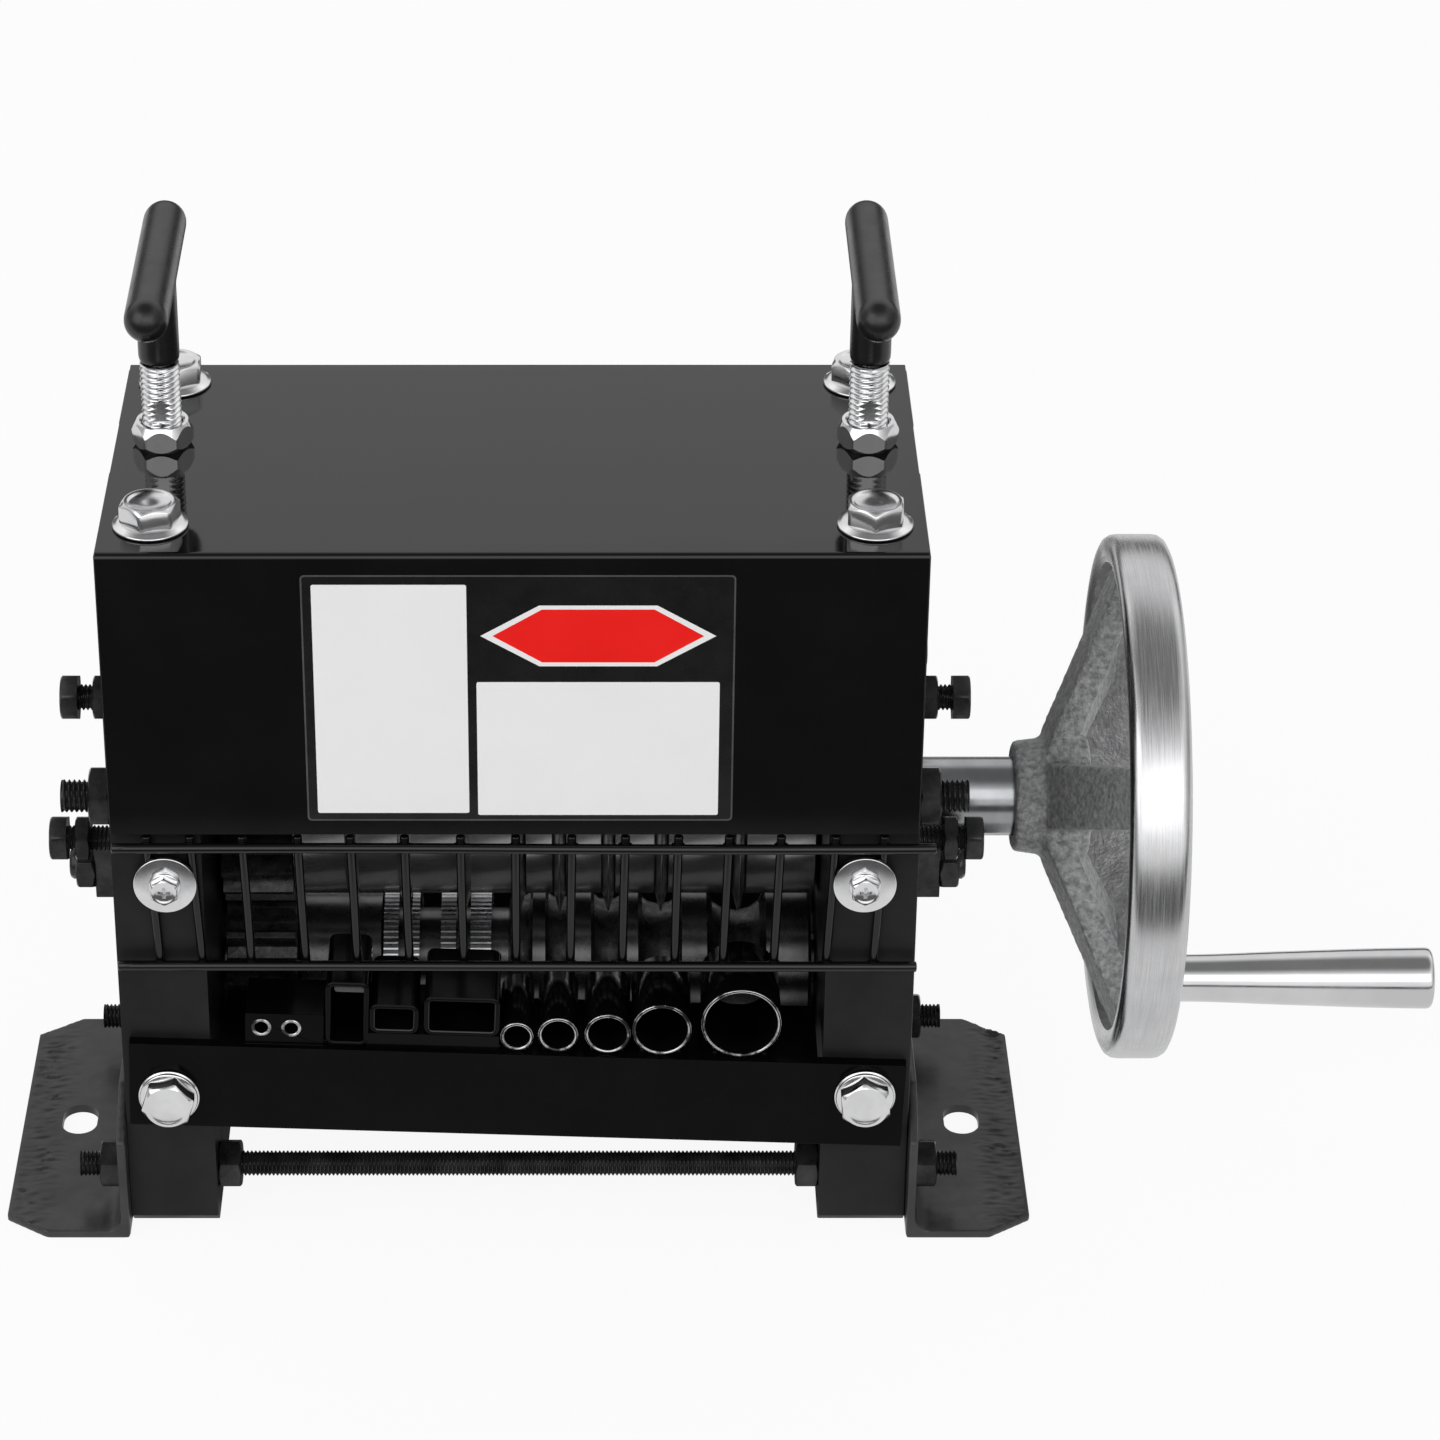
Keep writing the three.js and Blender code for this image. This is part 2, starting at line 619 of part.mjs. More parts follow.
function addPoint(shape, r, angle) {
  const [a, b] = [r * Math.cos(angle), r * Math.sin(angle)];
  if (shape.curves.length === 0 && shape.currentPoint.length() === 0) shape.moveTo(a, b);
  else shape.lineTo(a, b);
}

// Closed ring turned about the upper shaft from an outer profile of radius and place.
function shaftRing(points) {
  const bore = shaftRadius + clear;
  const from = points[0][1];
  const to = points[points.length - 1][1];
  return turns.x(turned([[bore, from], ...points, [bore, to], [bore, from]], 20)).translate(0, shaftY, upperZ);
}

function blade(x) {
  const [a, b] = [x - bladeThick / 2, x + bladeThick / 2];
  const edge = edgeFlat / 2;
  return shaftRing([[spacerRadius, a], [bladeRadius, x - edge], [bladeRadius, x + edge], [spacerRadius, b]]);
}

function spacer(from, to, ridges = []) {
  const points = [[spacerRadius, from]];
  for (const x of ridges) {
    const half = bladeThick / 2;
    const edge = edgeFlat / 2;
    points.push([spacerRadius, x - half], [bladeRadius, x - edge], [bladeRadius, x + edge], [spacerRadius, x + half]);
  }
  points.push([spacerRadius, to]);
  return shaftRing(points);
}

// Lower roller and its shaft turned from one bar: drum, gripping bands and a groove under each round feed.
function feedRoller() {
  const end = bodyHalf - 1;
  const drumFrom = gearLeft + gearWide + clear;
  const drum = rollerRadius - 2;
  const waist = rollerRadius - 7;
  const points = [[0, -end], [lowerShaftRadius - 1, -end], [lowerShaftRadius, 1 - end], [lowerShaftRadius, drumFrom]];
  points.push([drum - 1, drumFrom], [drum, drumFrom + 1], [drum, knurledBands[0][0] - 1], [waist, knurledBands[0][0] - 0.6]);
  for (const [from, to] of knurledBands) {
    points.push([waist, from], [rollerRadius, from], [rollerRadius, to], [waist, to]);
  }
  for (const { x, radius } of roundFeeds) {
    const half = radius * 0.76;
    const depth = half * 0.85;
    points.push([x === roundFeeds[0].x ? waist : rollerRadius, x - half]);
    for (const step of [-0.45, 0.45]) {
      points.push([rollerRadius - depth * Math.sqrt(1 - step * step), x + half * step]);
    }
    points.push([rollerRadius, x + half]);
  }
  points.push([rollerRadius, stackEnd - 1], [rollerRadius - 1, stackEnd], [lowerShaftRadius, stackEnd]);
  points.push([lowerShaftRadius, end - 1], [lowerShaftRadius - 1, end], [0, end]);
  return turns.x(turned(points, 16)).translate(0, shaftY, lowerZ);
}

function handWheel() {
  const r = rimRadius;
  const rim = turned([
    [rimInner, rimLeft], [r - 3.6, rimLeft], [r - 1.1, rimLeft + 1.1], [r, rimLeft + 3.6], [r, rimRight - 3.6],
    [r - 1.1, rimRight - 1.1], [r - 3.6, rimRight], [rimInner, rimRight], [rimInner, rimLeft],
  ], 48);
  const hub = turned([
    [0, hubLeft], [hubRadius - 0.8, hubLeft], [hubRadius, hubLeft + 1], [hubRadius + 2.2, hubRight - 7],
    [hubRadius + 2.2, hubRight - 1.5], [hubRadius + 0.7, hubRight], [0, hubRight],
  ], 20);
  const parts = [rim, hub];
  for (let i = 0; i < spokeCount; i += 1) {
    const side = new THREE.Shape();
    const root = hubRadius - 4;
    const reach = rimInner + 3;
    side.moveTo(root, hubLeft + 9.5);
    side.lineTo(hubRadius + 1.2, hubLeft + 9.5);
    side.lineTo(reach, rimLeft + 3);
    side.lineTo(reach, rimRight - 6.5);
    side.lineTo(rimInner - 4, rimRight - 9);
    side.lineTo(hubRadius + 3.7, hubRight - 4.5);
    side.lineTo(root, hubRight - 4.5);
    side.closePath();
    const arm = new THREE.ExtrudeGeometry(side, { depth: spokeWide, bevelEnabled: false });
    arm.translate(0, 0, -spokeWide / 2);
    const points = arm.attributes.position;
    for (let k = 0; k < points.count; k += 1) {
      const taper = 1 - 0.14 * (points.getX(k) - root) / (reach - root);
      points.setZ(k, points.getZ(k) * taper);
    }
    arm.rotateY(-THREE.MathUtils.degToRad(spokeFirst) - i * 2 * Math.PI / spokeCount);
    parts.push(arm);
  }
  const boss = turned([
    [0, rimLeft + 2], [bossRadius - 0.6, rimLeft + 2], [bossRadius, rimLeft + 3], [bossRadius, rimRight + 1],
    [0, rimRight + 1],
  ], 16);
  parts.push(boss.translate(0, 0, -crankRadius));
  const shaftBore = rod('y', shaftRadius + clear, hubLeft - 1, shaftEnd + clear, 0, 0, 20);
  const spindleBore = rod('y', spindleRadius + clear, rimLeft, rimRight + 2, 0, -crankRadius);
  return turns.x(cut(join(parts), [shaftBore, spindleBore])).translate(0, shaftY, upperZ);
}

function crankSpindle() {
  const r = spindleRadius;
  const profile = [
    [0, rimLeft + 4], [r, rimLeft + 4], [r, rimRight + 1], [r + 2.4, rimRight + 1], [r + 2.4, gripLeft - clear],
    [r, gripLeft - clear], [r, spindleEnd], [0, spindleEnd],
  ];
  return turns.x(turned(profile, 12)).translate(0, shaftY, upperZ - crankRadius);
}

function crankGrip() {
  const bore = spindleRadius + clear;
  const swell = [[7.6, 0.13], [8.5, 0.4], [9.4, 0.73]];
  const profile = [[0, spindleEnd + 1], [bore, spindleEnd + 1], [bore, gripLeft], [7.2, gripLeft], [7.7, gripLeft + 0.8]];
  for (const [r, share] of swell) profile.push([r, gripLeft + share * gripLong]);
  profile.push([9.9, gripRight - 1.6], [9, gripRight], [0, gripRight]);
  return turns.x(turned(profile, 20)).translate(0, shaftY, upperZ - crankRadius);
}

for (const [word, side] of sides) {
  add(`side_frame_${word}`, sideFrame(side), finish.paint);
  add(`foot_${word}`, foot(side), finish.satin);
  add(`upper_block_${word}`, upperBlock(side), finish.bronze);
  add(`lower_block_${word}`, bearingBlock(side, slotFloor, blockFoot - 2, lowerZ, lowerShaftRadius + clear), finish.bronze);
  add(`tee_screw_${word}`, teeScrew().translate(side * studX, shaftY, 0), finish.zinc);
  add(`tee_grip_${word}`, teeGrip().translate(side * studX, shaftY, 0), finish.vinyl);
  add(`lock_nut_${word}`, lockNut().translate(side * studX, shaftY, 0), finish.zinc);
  add(`guard_screw_${word}`, guardScrew(side), finish.zinc);
  const barBolt = flangeBolt({ flats: 14.6, flange: 9.4, head: 7, shank: 4, long: 20 });
  add(`bar_bolt_${word}`, turns.front(barBolt).translate(side * barBoltX, barFace, barBoltZ), finish.zinc);
  for (const [place, y] of [['front', coverBoltYs[0]], ['back', coverBoltYs[1]]]) {
    const bolt = turns.z(flangeBolt({ flats: 16, flange: 11.2, head: 8.2, shank: 5, long: 22, plate: 2.2 }));
    add(`cover_bolt_${place}_${word}`, bolt.rotateZ(Math.PI / 6).translate(side * coverBoltX, y, coverTop), finish.zinc);
  }
  for (const spec of sideBolts) add(`side_bolt_${spec.name}_${word}`, sideBolt(side, spec), finish.oxide);
  add(`clamp_block_${word}`, clampBlock(side), finish.oxide);
}

add('top_cover', topCover(), finish.paint);
add('front_bar', frontBar(), finish.paint);
add('wire_guard', wireGuard(), finish.paint);
add('flat_feed', flatFeed(), finish.paint);
add('rear_bar', rearBar(), finish.paint);
roundFeeds.forEach((feed, i) => add(`round_feed_${i + 1}`, roundFeed(feed), finish.paint));
for (const place of ['front', 'back']) {
  add(`lower_rod_${place}`, tieRod(lowerRod, lowerRod.places[place]), finish.oxide);
  add(`upper_rod_${place}`, tieRod(upperRod, upperRod.places[place]), finish.oxide);
}

add('blade_shaft', bladeShaft(), finish.steel);
add('upper_gear', gear(upperZ, shaftRadius + clear, Math.PI / 2), finish.oxide);
add('lower_gear', gear(lowerZ, lowerShaftRadius + clear, Math.PI / 2 + Math.PI / gearTeeth), finish.oxide);
add('feed_roller', feedRoller(), finish.knurl);
let spacerFrom = gearLeft + gearWide + clear;
roundFeeds.forEach(({ x }, i) => {
  const face = x - bladeThick / 2;
  add(`spacer_${i + 1}`, spacer(spacerFrom, face - clear, i === 0 ? flatBlades : []), finish.oxide);
  add(`blade_${i + 1}`, blade(x), finish.steel);
  spacerFrom = face + bladeThick + clear;
});
add('spacer_6', spacer(spacerFrom, stackEnd), finish.oxide);
add('hand_wheel', handWheel(), finish.cast);
add('crank_spindle', crankSpindle(), finish.steel);
add('crank_grip', crankGrip(), finish.steel);

// The whole machine stands centred on its footprint with its feet at zero.
const group = new THREE.Group();
group.name = 'hand_crank_wire_stripper';
const bounds = new THREE.Box3();
for (const piece of pieces) {
  piece.geometry.computeBoundingBox();
  bounds.union(piece.geometry.boundingBox);
}
const middle = bounds.getCenter(new THREE.Vector3());
for (const piece of pieces) {
  piece.geometry.translate(-middle.x, -middle.y, -bounds.min.z);
  group.add(piece);
}

export default group;
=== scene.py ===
import json
import math
import random
import bmesh
import bpy
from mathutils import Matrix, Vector, noise as turbulence


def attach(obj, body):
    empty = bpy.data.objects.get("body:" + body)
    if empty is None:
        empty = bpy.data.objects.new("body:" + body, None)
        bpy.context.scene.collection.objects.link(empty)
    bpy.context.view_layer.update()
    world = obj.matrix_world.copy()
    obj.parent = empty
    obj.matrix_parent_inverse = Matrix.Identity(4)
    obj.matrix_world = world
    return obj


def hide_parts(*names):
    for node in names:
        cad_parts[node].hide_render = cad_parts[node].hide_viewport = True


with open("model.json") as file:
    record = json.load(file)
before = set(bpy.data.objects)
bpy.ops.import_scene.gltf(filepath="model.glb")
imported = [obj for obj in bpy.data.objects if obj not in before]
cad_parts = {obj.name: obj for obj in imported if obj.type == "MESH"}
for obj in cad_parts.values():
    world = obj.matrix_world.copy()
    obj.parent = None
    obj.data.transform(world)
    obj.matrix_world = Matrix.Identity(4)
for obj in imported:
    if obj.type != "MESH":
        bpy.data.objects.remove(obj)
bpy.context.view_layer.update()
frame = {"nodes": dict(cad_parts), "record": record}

# Places and sizes are the machine's millimetres: x from the body's middle, y back from the cover's
# face, z up from the bench.
FRAME_MIDDLE = Vector((65.7, 71.5, 0.0))
SHAFT_Y = 71.5
UPPER_Z = 115.0
LOWER_Z = 55.0
COVER_TOP = 238.5
POST_INSIDE = 93.5
POST_OUTSIDE = 120.5
FOOT_PLATE = 3.0
BAR_TOP = 67.0
BAR_BOLT_Z = 52.1
BAR_TILT = math.radians(2)
CRANK_Z = 47.0
SIDES = (("left", -1), ("right", 1))

# Feed pipes as (place of their groove, outer radius), and their offset from the grooves.
FEEDS = [(0.4, 5.1), (12.9, 6.15), (28.0, 7.05), (44.4, 9.1), (68.5, 12.25)]
PIPE_SHIFT = 1.0

TAU = 2 * math.pi
AXES = {
    "x": ((0, 1, 0), (0, 0, 1), (1, 0, 0)),
    "y": ((1, 0, 0), (0, 0, 1), (0, 1, 0)),
    "z": ((1, 0, 0), (0, 1, 0), (0, 0, 1)),
    "-x": ((0, 1, 0), (0, 0, 1), (-1, 0, 0)),
    "-y": ((1, 0, 0), (0, 0, 1), (0, -1, 0)),
}


def at(x, y, z):
    """A place in the machine's millimetres, as metres in the frame."""
    return (Vector((x, y, z)) - FRAME_MIDDLE) / 1000.0


# Shader helpers.
def new_material(name):
    m = bpy.data.materials.new(name)
    m.use_nodes = True
    t = m.node_tree
    return m, t, t.nodes["Principled BSDF"]


def node(t, kind, **values):
    """A new shader node with some of its properties or inputs set."""
    n = t.nodes.new(kind)
    for key, value in values.items():
        if hasattr(n, key):
            setattr(n, key, value)
        else:
            n.inputs[key].default_value = value
    return n


def noise(t, scale, detail, stretch=(1, 1, 1)):
    place = node(t, "ShaderNodeTexCoord")
    mapping = node(t, "ShaderNodeMapping", Scale=stretch)
    t.links.new(place.outputs["Object"], mapping.inputs["Vector"])
    n = node(t, "ShaderNodeTexNoise", Scale=scale, Detail=detail, Roughness=0.6)
    t.links.new(mapping.outputs["Vector"], n.inputs["Vector"])
    return n.outputs["Fac"]


def ramp(t, fac, low, high, a, b):
    """Runs from a to b while fac runs from low to high."""
    n = node(t, "ShaderNodeMapRange", **{"From Min": low, "From Max": high, "To Min": a, "To Max": b})
    t.links.new(fac, n.inputs["Value"])
    return n.outputs["Result"]


def mix_colour(t, fac, a, b):
    n = node(t, "ShaderNodeMix", data_type="RGBA")
    n.inputs[6].default_value = (*a, 1.0)
    n.inputs[7].default_value = (*b, 1.0)
    t.links.new(fac, n.inputs[0])
    return n.outputs[2]


def mix_shaders(t, share, a, b):
    n = node(t, "ShaderNodeMixShader")
    t.links.new(share, n.inputs[0])
    t.links.new(a.outputs[0], n.inputs[1])
    t.links.new(b.outputs[0], n.inputs[2])
    return n


def combine(t, op, a, b=None):
    """One arithmetic step on sockets or plain numbers."""
    n = node(t, "ShaderNodeMath", operation=op)
    for i, value in enumerate((a, b)):
        if isinstance(value, (int, float)):
            n.inputs[i].default_value = value
        elif value is not None:
            t.links.new(value, n.inputs[i])
    return n.outputs[0]


def axes_of(t, output):
    """The separate x, y and z of a texture coordinate."""
    place = node(t, "ShaderNodeTexCoord")
    split = node(t, "ShaderNodeSeparateXYZ")
    t.links.new(place.outputs[output], split.inputs[0])
    return split.outputs


def bump(t, b, height, depth):
    n = node(t, "ShaderNodeBump", Strength=1.0, Distance=depth)
    t.links.new(height, n.inputs["Height"])
    t.links.new(n.outputs["Normal"], b.inputs["Normal"])


# Finishes.
MOTTLE_RANGE = (0.35, 0.68)
WEAR_RANGE = (0.3, 0.7)
WEAR_FINENESS = 2.3


def grey(level, blue=0.0):
    """A neutral tone with a slight lean to blue."""
    return (level, level, level + blue)


def surface(name, tones, rough, metal=0.0, scale=60, relief=400, depth=2e-5, stretch=(1, 1, 1), ior=None):
    """A finish with mottled colour and roughness, and a fine relief of a depth in metres."""
    m, t, b = new_material(name)
    mottle = ramp(t, noise(t, scale, 4.0), *MOTTLE_RANGE, 0, 1)
    t.links.new(mix_colour(t, mottle, *tones), b.inputs["Base Color"])
    wear = noise(t, scale * WEAR_FINENESS, 5.0)
    t.links.new(ramp(t, wear, *WEAR_RANGE, *rough), b.inputs["Roughness"])
    b.inputs["Metallic"].default_value = metal
    if ior:
        b.inputs["IOR"].default_value = ior
    bump(t, b, noise(t, relief, 4.0, stretch), depth)
    return m


def worn_edge():
    """Black paint rubbed off a lip in places, so that bright metal shows."""
    m, t, b = new_material("worn_edge")
    rub = ramp(t, noise(t, 150.0, 3.0), 0.40, 0.54, 0.0, 1.0)
    t.links.new(mix_colour(t, rub, grey(0.010), grey(0.62, 0.01)), b.inputs["Base Color"])
    t.links.new(rub, b.inputs["Metallic"])
    t.links.new(ramp(t, rub, 0.0, 1.0, 0.16, 0.26), b.inputs["Roughness"])
    return m


def wheel_bright():
    """Turned rim: fine rings of tool marks round the wheel's own axis."""
    m, t, b = new_material("wheel_bright")
    marks = noise(t, 2600.0, 3.0, (1.0, 0.02, 0.02))
    tone = combine(t, "MULTIPLY", marks, noise(t, 26.0, 4.0))
    polish = ramp(t, tone, 0.12, 0.38, 0, 1)
    t.links.new(mix_colour(t, polish, grey(0.50, 0.01), grey(0.72, 0.01)), b.inputs["Base Color"])
    t.links.new(ramp(t, marks, *WEAR_RANGE, 0.20, 0.34), b.inputs["Roughness"])
    b.inputs["Metallic"].default_value = 1.0
    bump(t, b, marks, 2e-5)
    return m


GLOSS = dict(tones=(grey(0.0014, 0.0002), grey(0.0026, 0.0002)), rough=(0.09, 0.16), scale=40, relief=420)
FILM = dict(relief=300, depth=1e-5)
FINISHES = {
    # Paints, vinyl, and a dead black that paints the shade inside the feeds.
    "black_paint": dict(tones=(grey(0.0016, 0.0002), grey(0.0030, 0.0002)), rough=(0.03, 0.07),
                        scale=30, relief=260, depth=6e-6, ior=1.45),
    "black_gloss": dict(**GLOSS, ior=1.20),
    "bar_paint": dict(**GLOSS, ior=1.16),
    "black_satin": dict(tones=(grey(0.007), grey(0.013)), rough=(0.36, 0.48),
                        scale=40, relief=420, depth=3e-5, ior=1.30),
    "grey_paint": dict(tones=(grey(0.022, 0.001), grey(0.040, 0.002)), rough=(0.28, 0.40),
                       scale=70, relief=240, depth=8e-5, ior=1.45),
    "vinyl": dict(tones=(grey(0.006), grey(0.010)), rough=(0.24, 0.32), scale=50, relief=500, depth=1.2e-5),
    # Painted shade: a dead, matt black for the insides of the feed tubes, which stand in the dark.
    "painted_shade_black": dict(tones=(grey(0.001), grey(0.003)), rough=(0.75, 0.90), relief=300, depth=3e-5, ior=1.05),
    # Metals.
    "zinc": dict(tones=(grey(0.74, 0.01), grey(0.84, 0.01)), rough=(0.12, 0.19), metal=1.0,
                 scale=90, relief=500, depth=6e-6),
    "bearing_block": dict(tones=((0.03, 0.028, 0.026), (0.07, 0.066, 0.06)), rough=(0.3, 0.5), metal=0.7),
    "black_oxide": dict(tones=(grey(0.014, 0.001), grey(0.050, 0.002)), rough=(0.20, 0.36), metal=0.55,
                        scale=120, relief=700, depth=3e-5),
    # Grease on the gears, and painted shade on the roller's groove floors.
    "grease_and_painted_shade_black": dict(tones=(grey(0.004), grey(0.030, 0.001)), rough=(0.14, 0.50), metal=0.3,
                         scale=140, relief=600, depth=1.2e-4),
    "bright_steel": dict(tones=((0.32, 0.33, 0.34), (0.44, 0.45, 0.46)), rough=(0.16, 0.26), metal=1.0,
                         scale=40, relief=500, depth=1e-5, stretch=(30, 1, 1)),
    "polished_steel": dict(tones=(grey(0.62, 0.01), grey(0.74, 0.01)), rough=(0.10, 0.20), metal=1.0,
                           scale=25, relief=300, depth=8e-6),
    "roller_steel": dict(tones=(grey(0.06, 0.002), grey(0.12, 0.002)), rough=(0.20, 0.32), metal=0.9,
                         relief=500, stretch=(20, 1, 1)),
    "drum_satin": dict(tones=(grey(0.26, 0.004), grey(0.36, 0.004)), rough=(0.18, 0.27), metal=0.9,
                       scale=30, depth=1e-5, stretch=(25, 1, 1)),
    "knurl_bright": dict(tones=(grey(0.45, 0.01), grey(0.75, 0.01)), rough=(0.22, 0.36), metal=1.0,
                         scale=90, relief=700, depth=1e-5),
    "cast_grey": dict(tones=((0.25, 0.253, 0.257), (0.58, 0.585, 0.59)), rough=(0.28, 0.44), metal=0.6,
                      scale=520, relief=1500, depth=8e-4),
    "wheel_inner": dict(tones=(grey(0.24, 0.005), grey(0.40, 0.005)), rough=(0.36, 0.48), metal=0.9,
                        scale=300, relief=900, depth=4e-4),
    # Films of the decal.
    "decal_edge": dict(tones=(grey(0.05, 0.002), grey(0.075, 0.003)), rough=(0.3, 0.4), **FILM),
    "decal_black": dict(tones=(grey(0.004), grey(0.007)), rough=(0.22, 0.32), **FILM),
    "decal_white": dict(tones=(grey(0.76), grey(0.78)), rough=(0.36, 0.42), scale=30, **FILM),
    "decal_red": dict(tones=((0.76, 0.006, 0.004), (0.82, 0.009, 0.006)), rough=(0.30, 0.38),
                      scale=30, ior=1.3, **FILM),
}
MATS = {name: surface(name, **values) for name, values in FINISHES.items()}
MATS["worn_edge"] = worn_edge()
MATS["wheel_bright"] = wheel_bright()

# Nodes with a finish other than their slot's, and edge rounding, by how a name starts.
BLADES = [f"blade_{i + 1}" for i in range(5)]
LOOKS = {
    "side_frame": "black_satin", "front_bar": "bar_paint", "rear_bar": "bar_paint",
    "upper_gear": "grease_and_painted_shade_black", "lower_gear": "grease_and_painted_shade_black", "spacer": "drum_satin",
    **dict.fromkeys(BLADES, "drum_satin"),
}
EDGES = {
    "side_frame": 0.9, "hand_wheel": 0.8, "foot": 0.7, "front_bar": 0.6, "rear_bar": 0.6, "top_cover": 0.35,
    "upper_gear": 0.25, "lower_gear": 0.25, "feed_roller": 0.25, "blade": 0.0, "wire_guard": 0.0,
}
PLAIN_EDGE = 0.3
EDGE_ANGLE = math.radians(38)
NODE_WELD = 0.000005
PIECE_WELD = 0.000003


def by_start(table, name, otherwise):
    return next((value for start, value in table.items() if name.startswith(start)), otherwise)


def paint(obj, mat):
    obj.data.materials.clear()
    obj.data.materials.append(mat)


def soften(obj, width):
    """Rounds the hard edges a little, and shades the curved faces smoothly."""
    weld = obj.modifiers.new("weld", "WELD")
    weld.merge_threshold = NODE_WELD
    if obj.name.startswith("side_frame"):
        flat = obj.modifiers.new("flat", "DECIMATE")
        flat.decimate_type = "DISSOLVE"
        flat.angle_limit = math.radians(0.5)
    if width:
        edges = obj.modifiers.new("edges", "BEVEL")
        edges.width = width / 1000
        edges.segments = 2
        edges.limit_method = "ANGLE"
        edges.angle_limit = EDGE_ANGLE
        edges.use_clamp_overlap = True
    normals = obj.modifiers.new("normals", "WEIGHTED_NORMAL")
    normals.keep_sharp = False
    for face in obj.data.polygons:
        face.use_smooth = True


def dress_nodes():
    slots = {part["node"]: part["material_slot"] for part in frame["record"]["subparts"]}
    for name, obj in frame["nodes"].items():
        paint(obj, MATS[by_start(LOOKS, name, slots[name])])
        soften(obj, by_start(EDGES, name, PLAIN_EDGE))


# Mesh helpers.
def turned(axis, centre, place, radius, angle):
    """The point at a radius and angle round an axis, at a place along it."""
    u, v, w = (Vector(k) for k in AXES[axis])
    out = u * (radius * math.cos(angle)) + v * (radius * math.sin(angle))
    return tuple(Vector(centre) + w * place + out)


class Shell:
    """Points and faces in the machine's millimetres, gathered for one piece."""

    def __init__(self):
        self.points, self.faces, self.tints = [], [], []

    def grid(self, rows, closed=True, tint=0):
        """Joins rows of points to their neighbours; closed rows run round."""
        start, wide = len(self.points), len(rows[0])
        for row in rows:
            self.points.extend(row)
        for i in range(len(rows) - 1):
            for j in range(wide if closed else wide - 1):
                a, b = start + i * wide + j, start + i * wide + (j + 1) % wide
                self.faces.append((a, b, b + wide, a + wide))
                self.tints.append(tint)
        return start

    def cap(self, first, count, tint):
        self.faces.append(tuple(range(first, first + count)))
        self.tints.append(tint)

    def loft(self, rows, tint=0):
        """A closed skin over rows of points, with both ends capped."""
        start, wide = self.grid(rows, True, tint), len(rows[0])
        self.cap(start, wide, tint)
        self.cap(start + (len(rows) - 1) * wide, wide, tint)

    def lathe(self, axis, centre, profile, sides, ring=False):
        """Turns (radius, place) pairs about an axis; ring closes the profile on itself."""
        turns = [TAU * k / sides for k in range(sides)]
        rows = [[turned(axis, centre, place, r, angle) for angle in turns] for r, place in profile]
        if ring:
            self.grid(rows + [rows[0]])
        else:
            self.loft(rows)

    def block(self, low, high):
        (a, b, c), (d, e, f) = low, high
        self.loft([[(a, b, z), (d, b, z), (d, e, z), (a, e, z)] for z in (c, f)])

    def repaint(self, first, count, tint):
        """Changes the tint of some faces in a row."""
        self.tints[first:first + count] = [tint] * count


def disc(radius, start, stop):
    """The profile of a plain solid cylinder."""
    return [(0, start), (radius, start), (radius, stop), (0, stop)]


def rounded(profile, radius, steps):
    """Rounds every inner corner of a list of (radius, place) points."""
    out = [profile[0]]
    for i in range(1, len(profile) - 1):
        p, a, b = Vector(profile[i]), Vector(profile[i - 1]), Vector(profile[i + 1])
        r = min(radius, (a - p).length * 0.45, (b - p).length * 0.45)
        start, end = p + (a - p).normalized() * r, p + (b - p).normalized() * r
        for k in range(steps + 1):
            t = k / steps
            q = start * (1 - t) ** 2 + p * 2 * t * (1 - t) + end * t * t
            out.append((q.x, q.y))
    out.append(profile[-1])
    return out


def spline(points, steps):
    """A smooth run through a list of points of any size."""
    pts = [Vector(p) for p in points]
    pts = [pts[0]] + pts + [pts[-1]]
    out = []
    for i in range(1, len(pts) - 2):
        p0, p1, p2, p3 = pts[i - 1:i + 3]
        for k in range(steps):
            t = k / steps
            q = 0.5 * (2 * p1 + (p2 - p0) * t + (2 * p0 - 5 * p1 + 4 * p2 - p3) * t * t
                       + (3 * p1 - p0 - 3 * p2 + p3) * t ** 3)
            out.append(tuple(q))
    out.append(tuple(pts[-2]))
    return out


def rounded_rect(half_wide, half_tall, radius, steps=5):
    out = []
    for a, b, quarter in ((1, 1, 0), (-1, 1, 1), (-1, -1, 2), (1, -1, 3)):
        middle_a, middle_b = a * (half_wide - radius), b * (half_tall - radius)
        for k in range(steps + 1):
            angle = (quarter + k / steps) * math.pi / 2
            out.append((middle_a + radius * math.cos(angle), middle_b + radius * math.sin(angle)))
    return out


def sweep(shell, path, radius, sides, sizes=None):
    """Round bar with rounded ends along a path; sizes vary its radius from point to point."""
    pts = [Vector(p) for p in path]
    first, last = pts[0], pts[-1]
    run = (last - first).normalized()
    side = run.orthogonal().normalized()
    up = run.cross(side)
    sizes = sizes or [1.0] * len(pts)
    nose = [(radius * 0.35 * (1 - k), radius * math.sqrt(1 - (1 - k) ** 2)) for k in (0.3, 0.7)]
    stations = [(first - run * reach, r) for reach, r in nose]
    stations += [(p, radius * size) for p, size in zip(pts, sizes)]
    stations += [(last + run * reach, r) for reach, r in reversed(nose)]
    turns = [TAU * j / sides for j in range(sides)]
    rows = []
    for c, r in stations:
        rows.append([tuple(c + side * (r * math.cos(a)) + up * (r * math.sin(a))) for a in turns])
    shell.loft(rows)


def tipped(shell):
    """Follows the feed bar, which hangs a little out of level."""
    cos, sin = math.cos(BAR_TILT), math.sin(BAR_TILT)
    out = []
    for x, y, z in shell.points:
        rise = z - BAR_BOLT_Z
        out.append((x * cos + rise * sin, y, BAR_BOLT_Z - x * sin + rise * cos))
    shell.points = out
    return shell


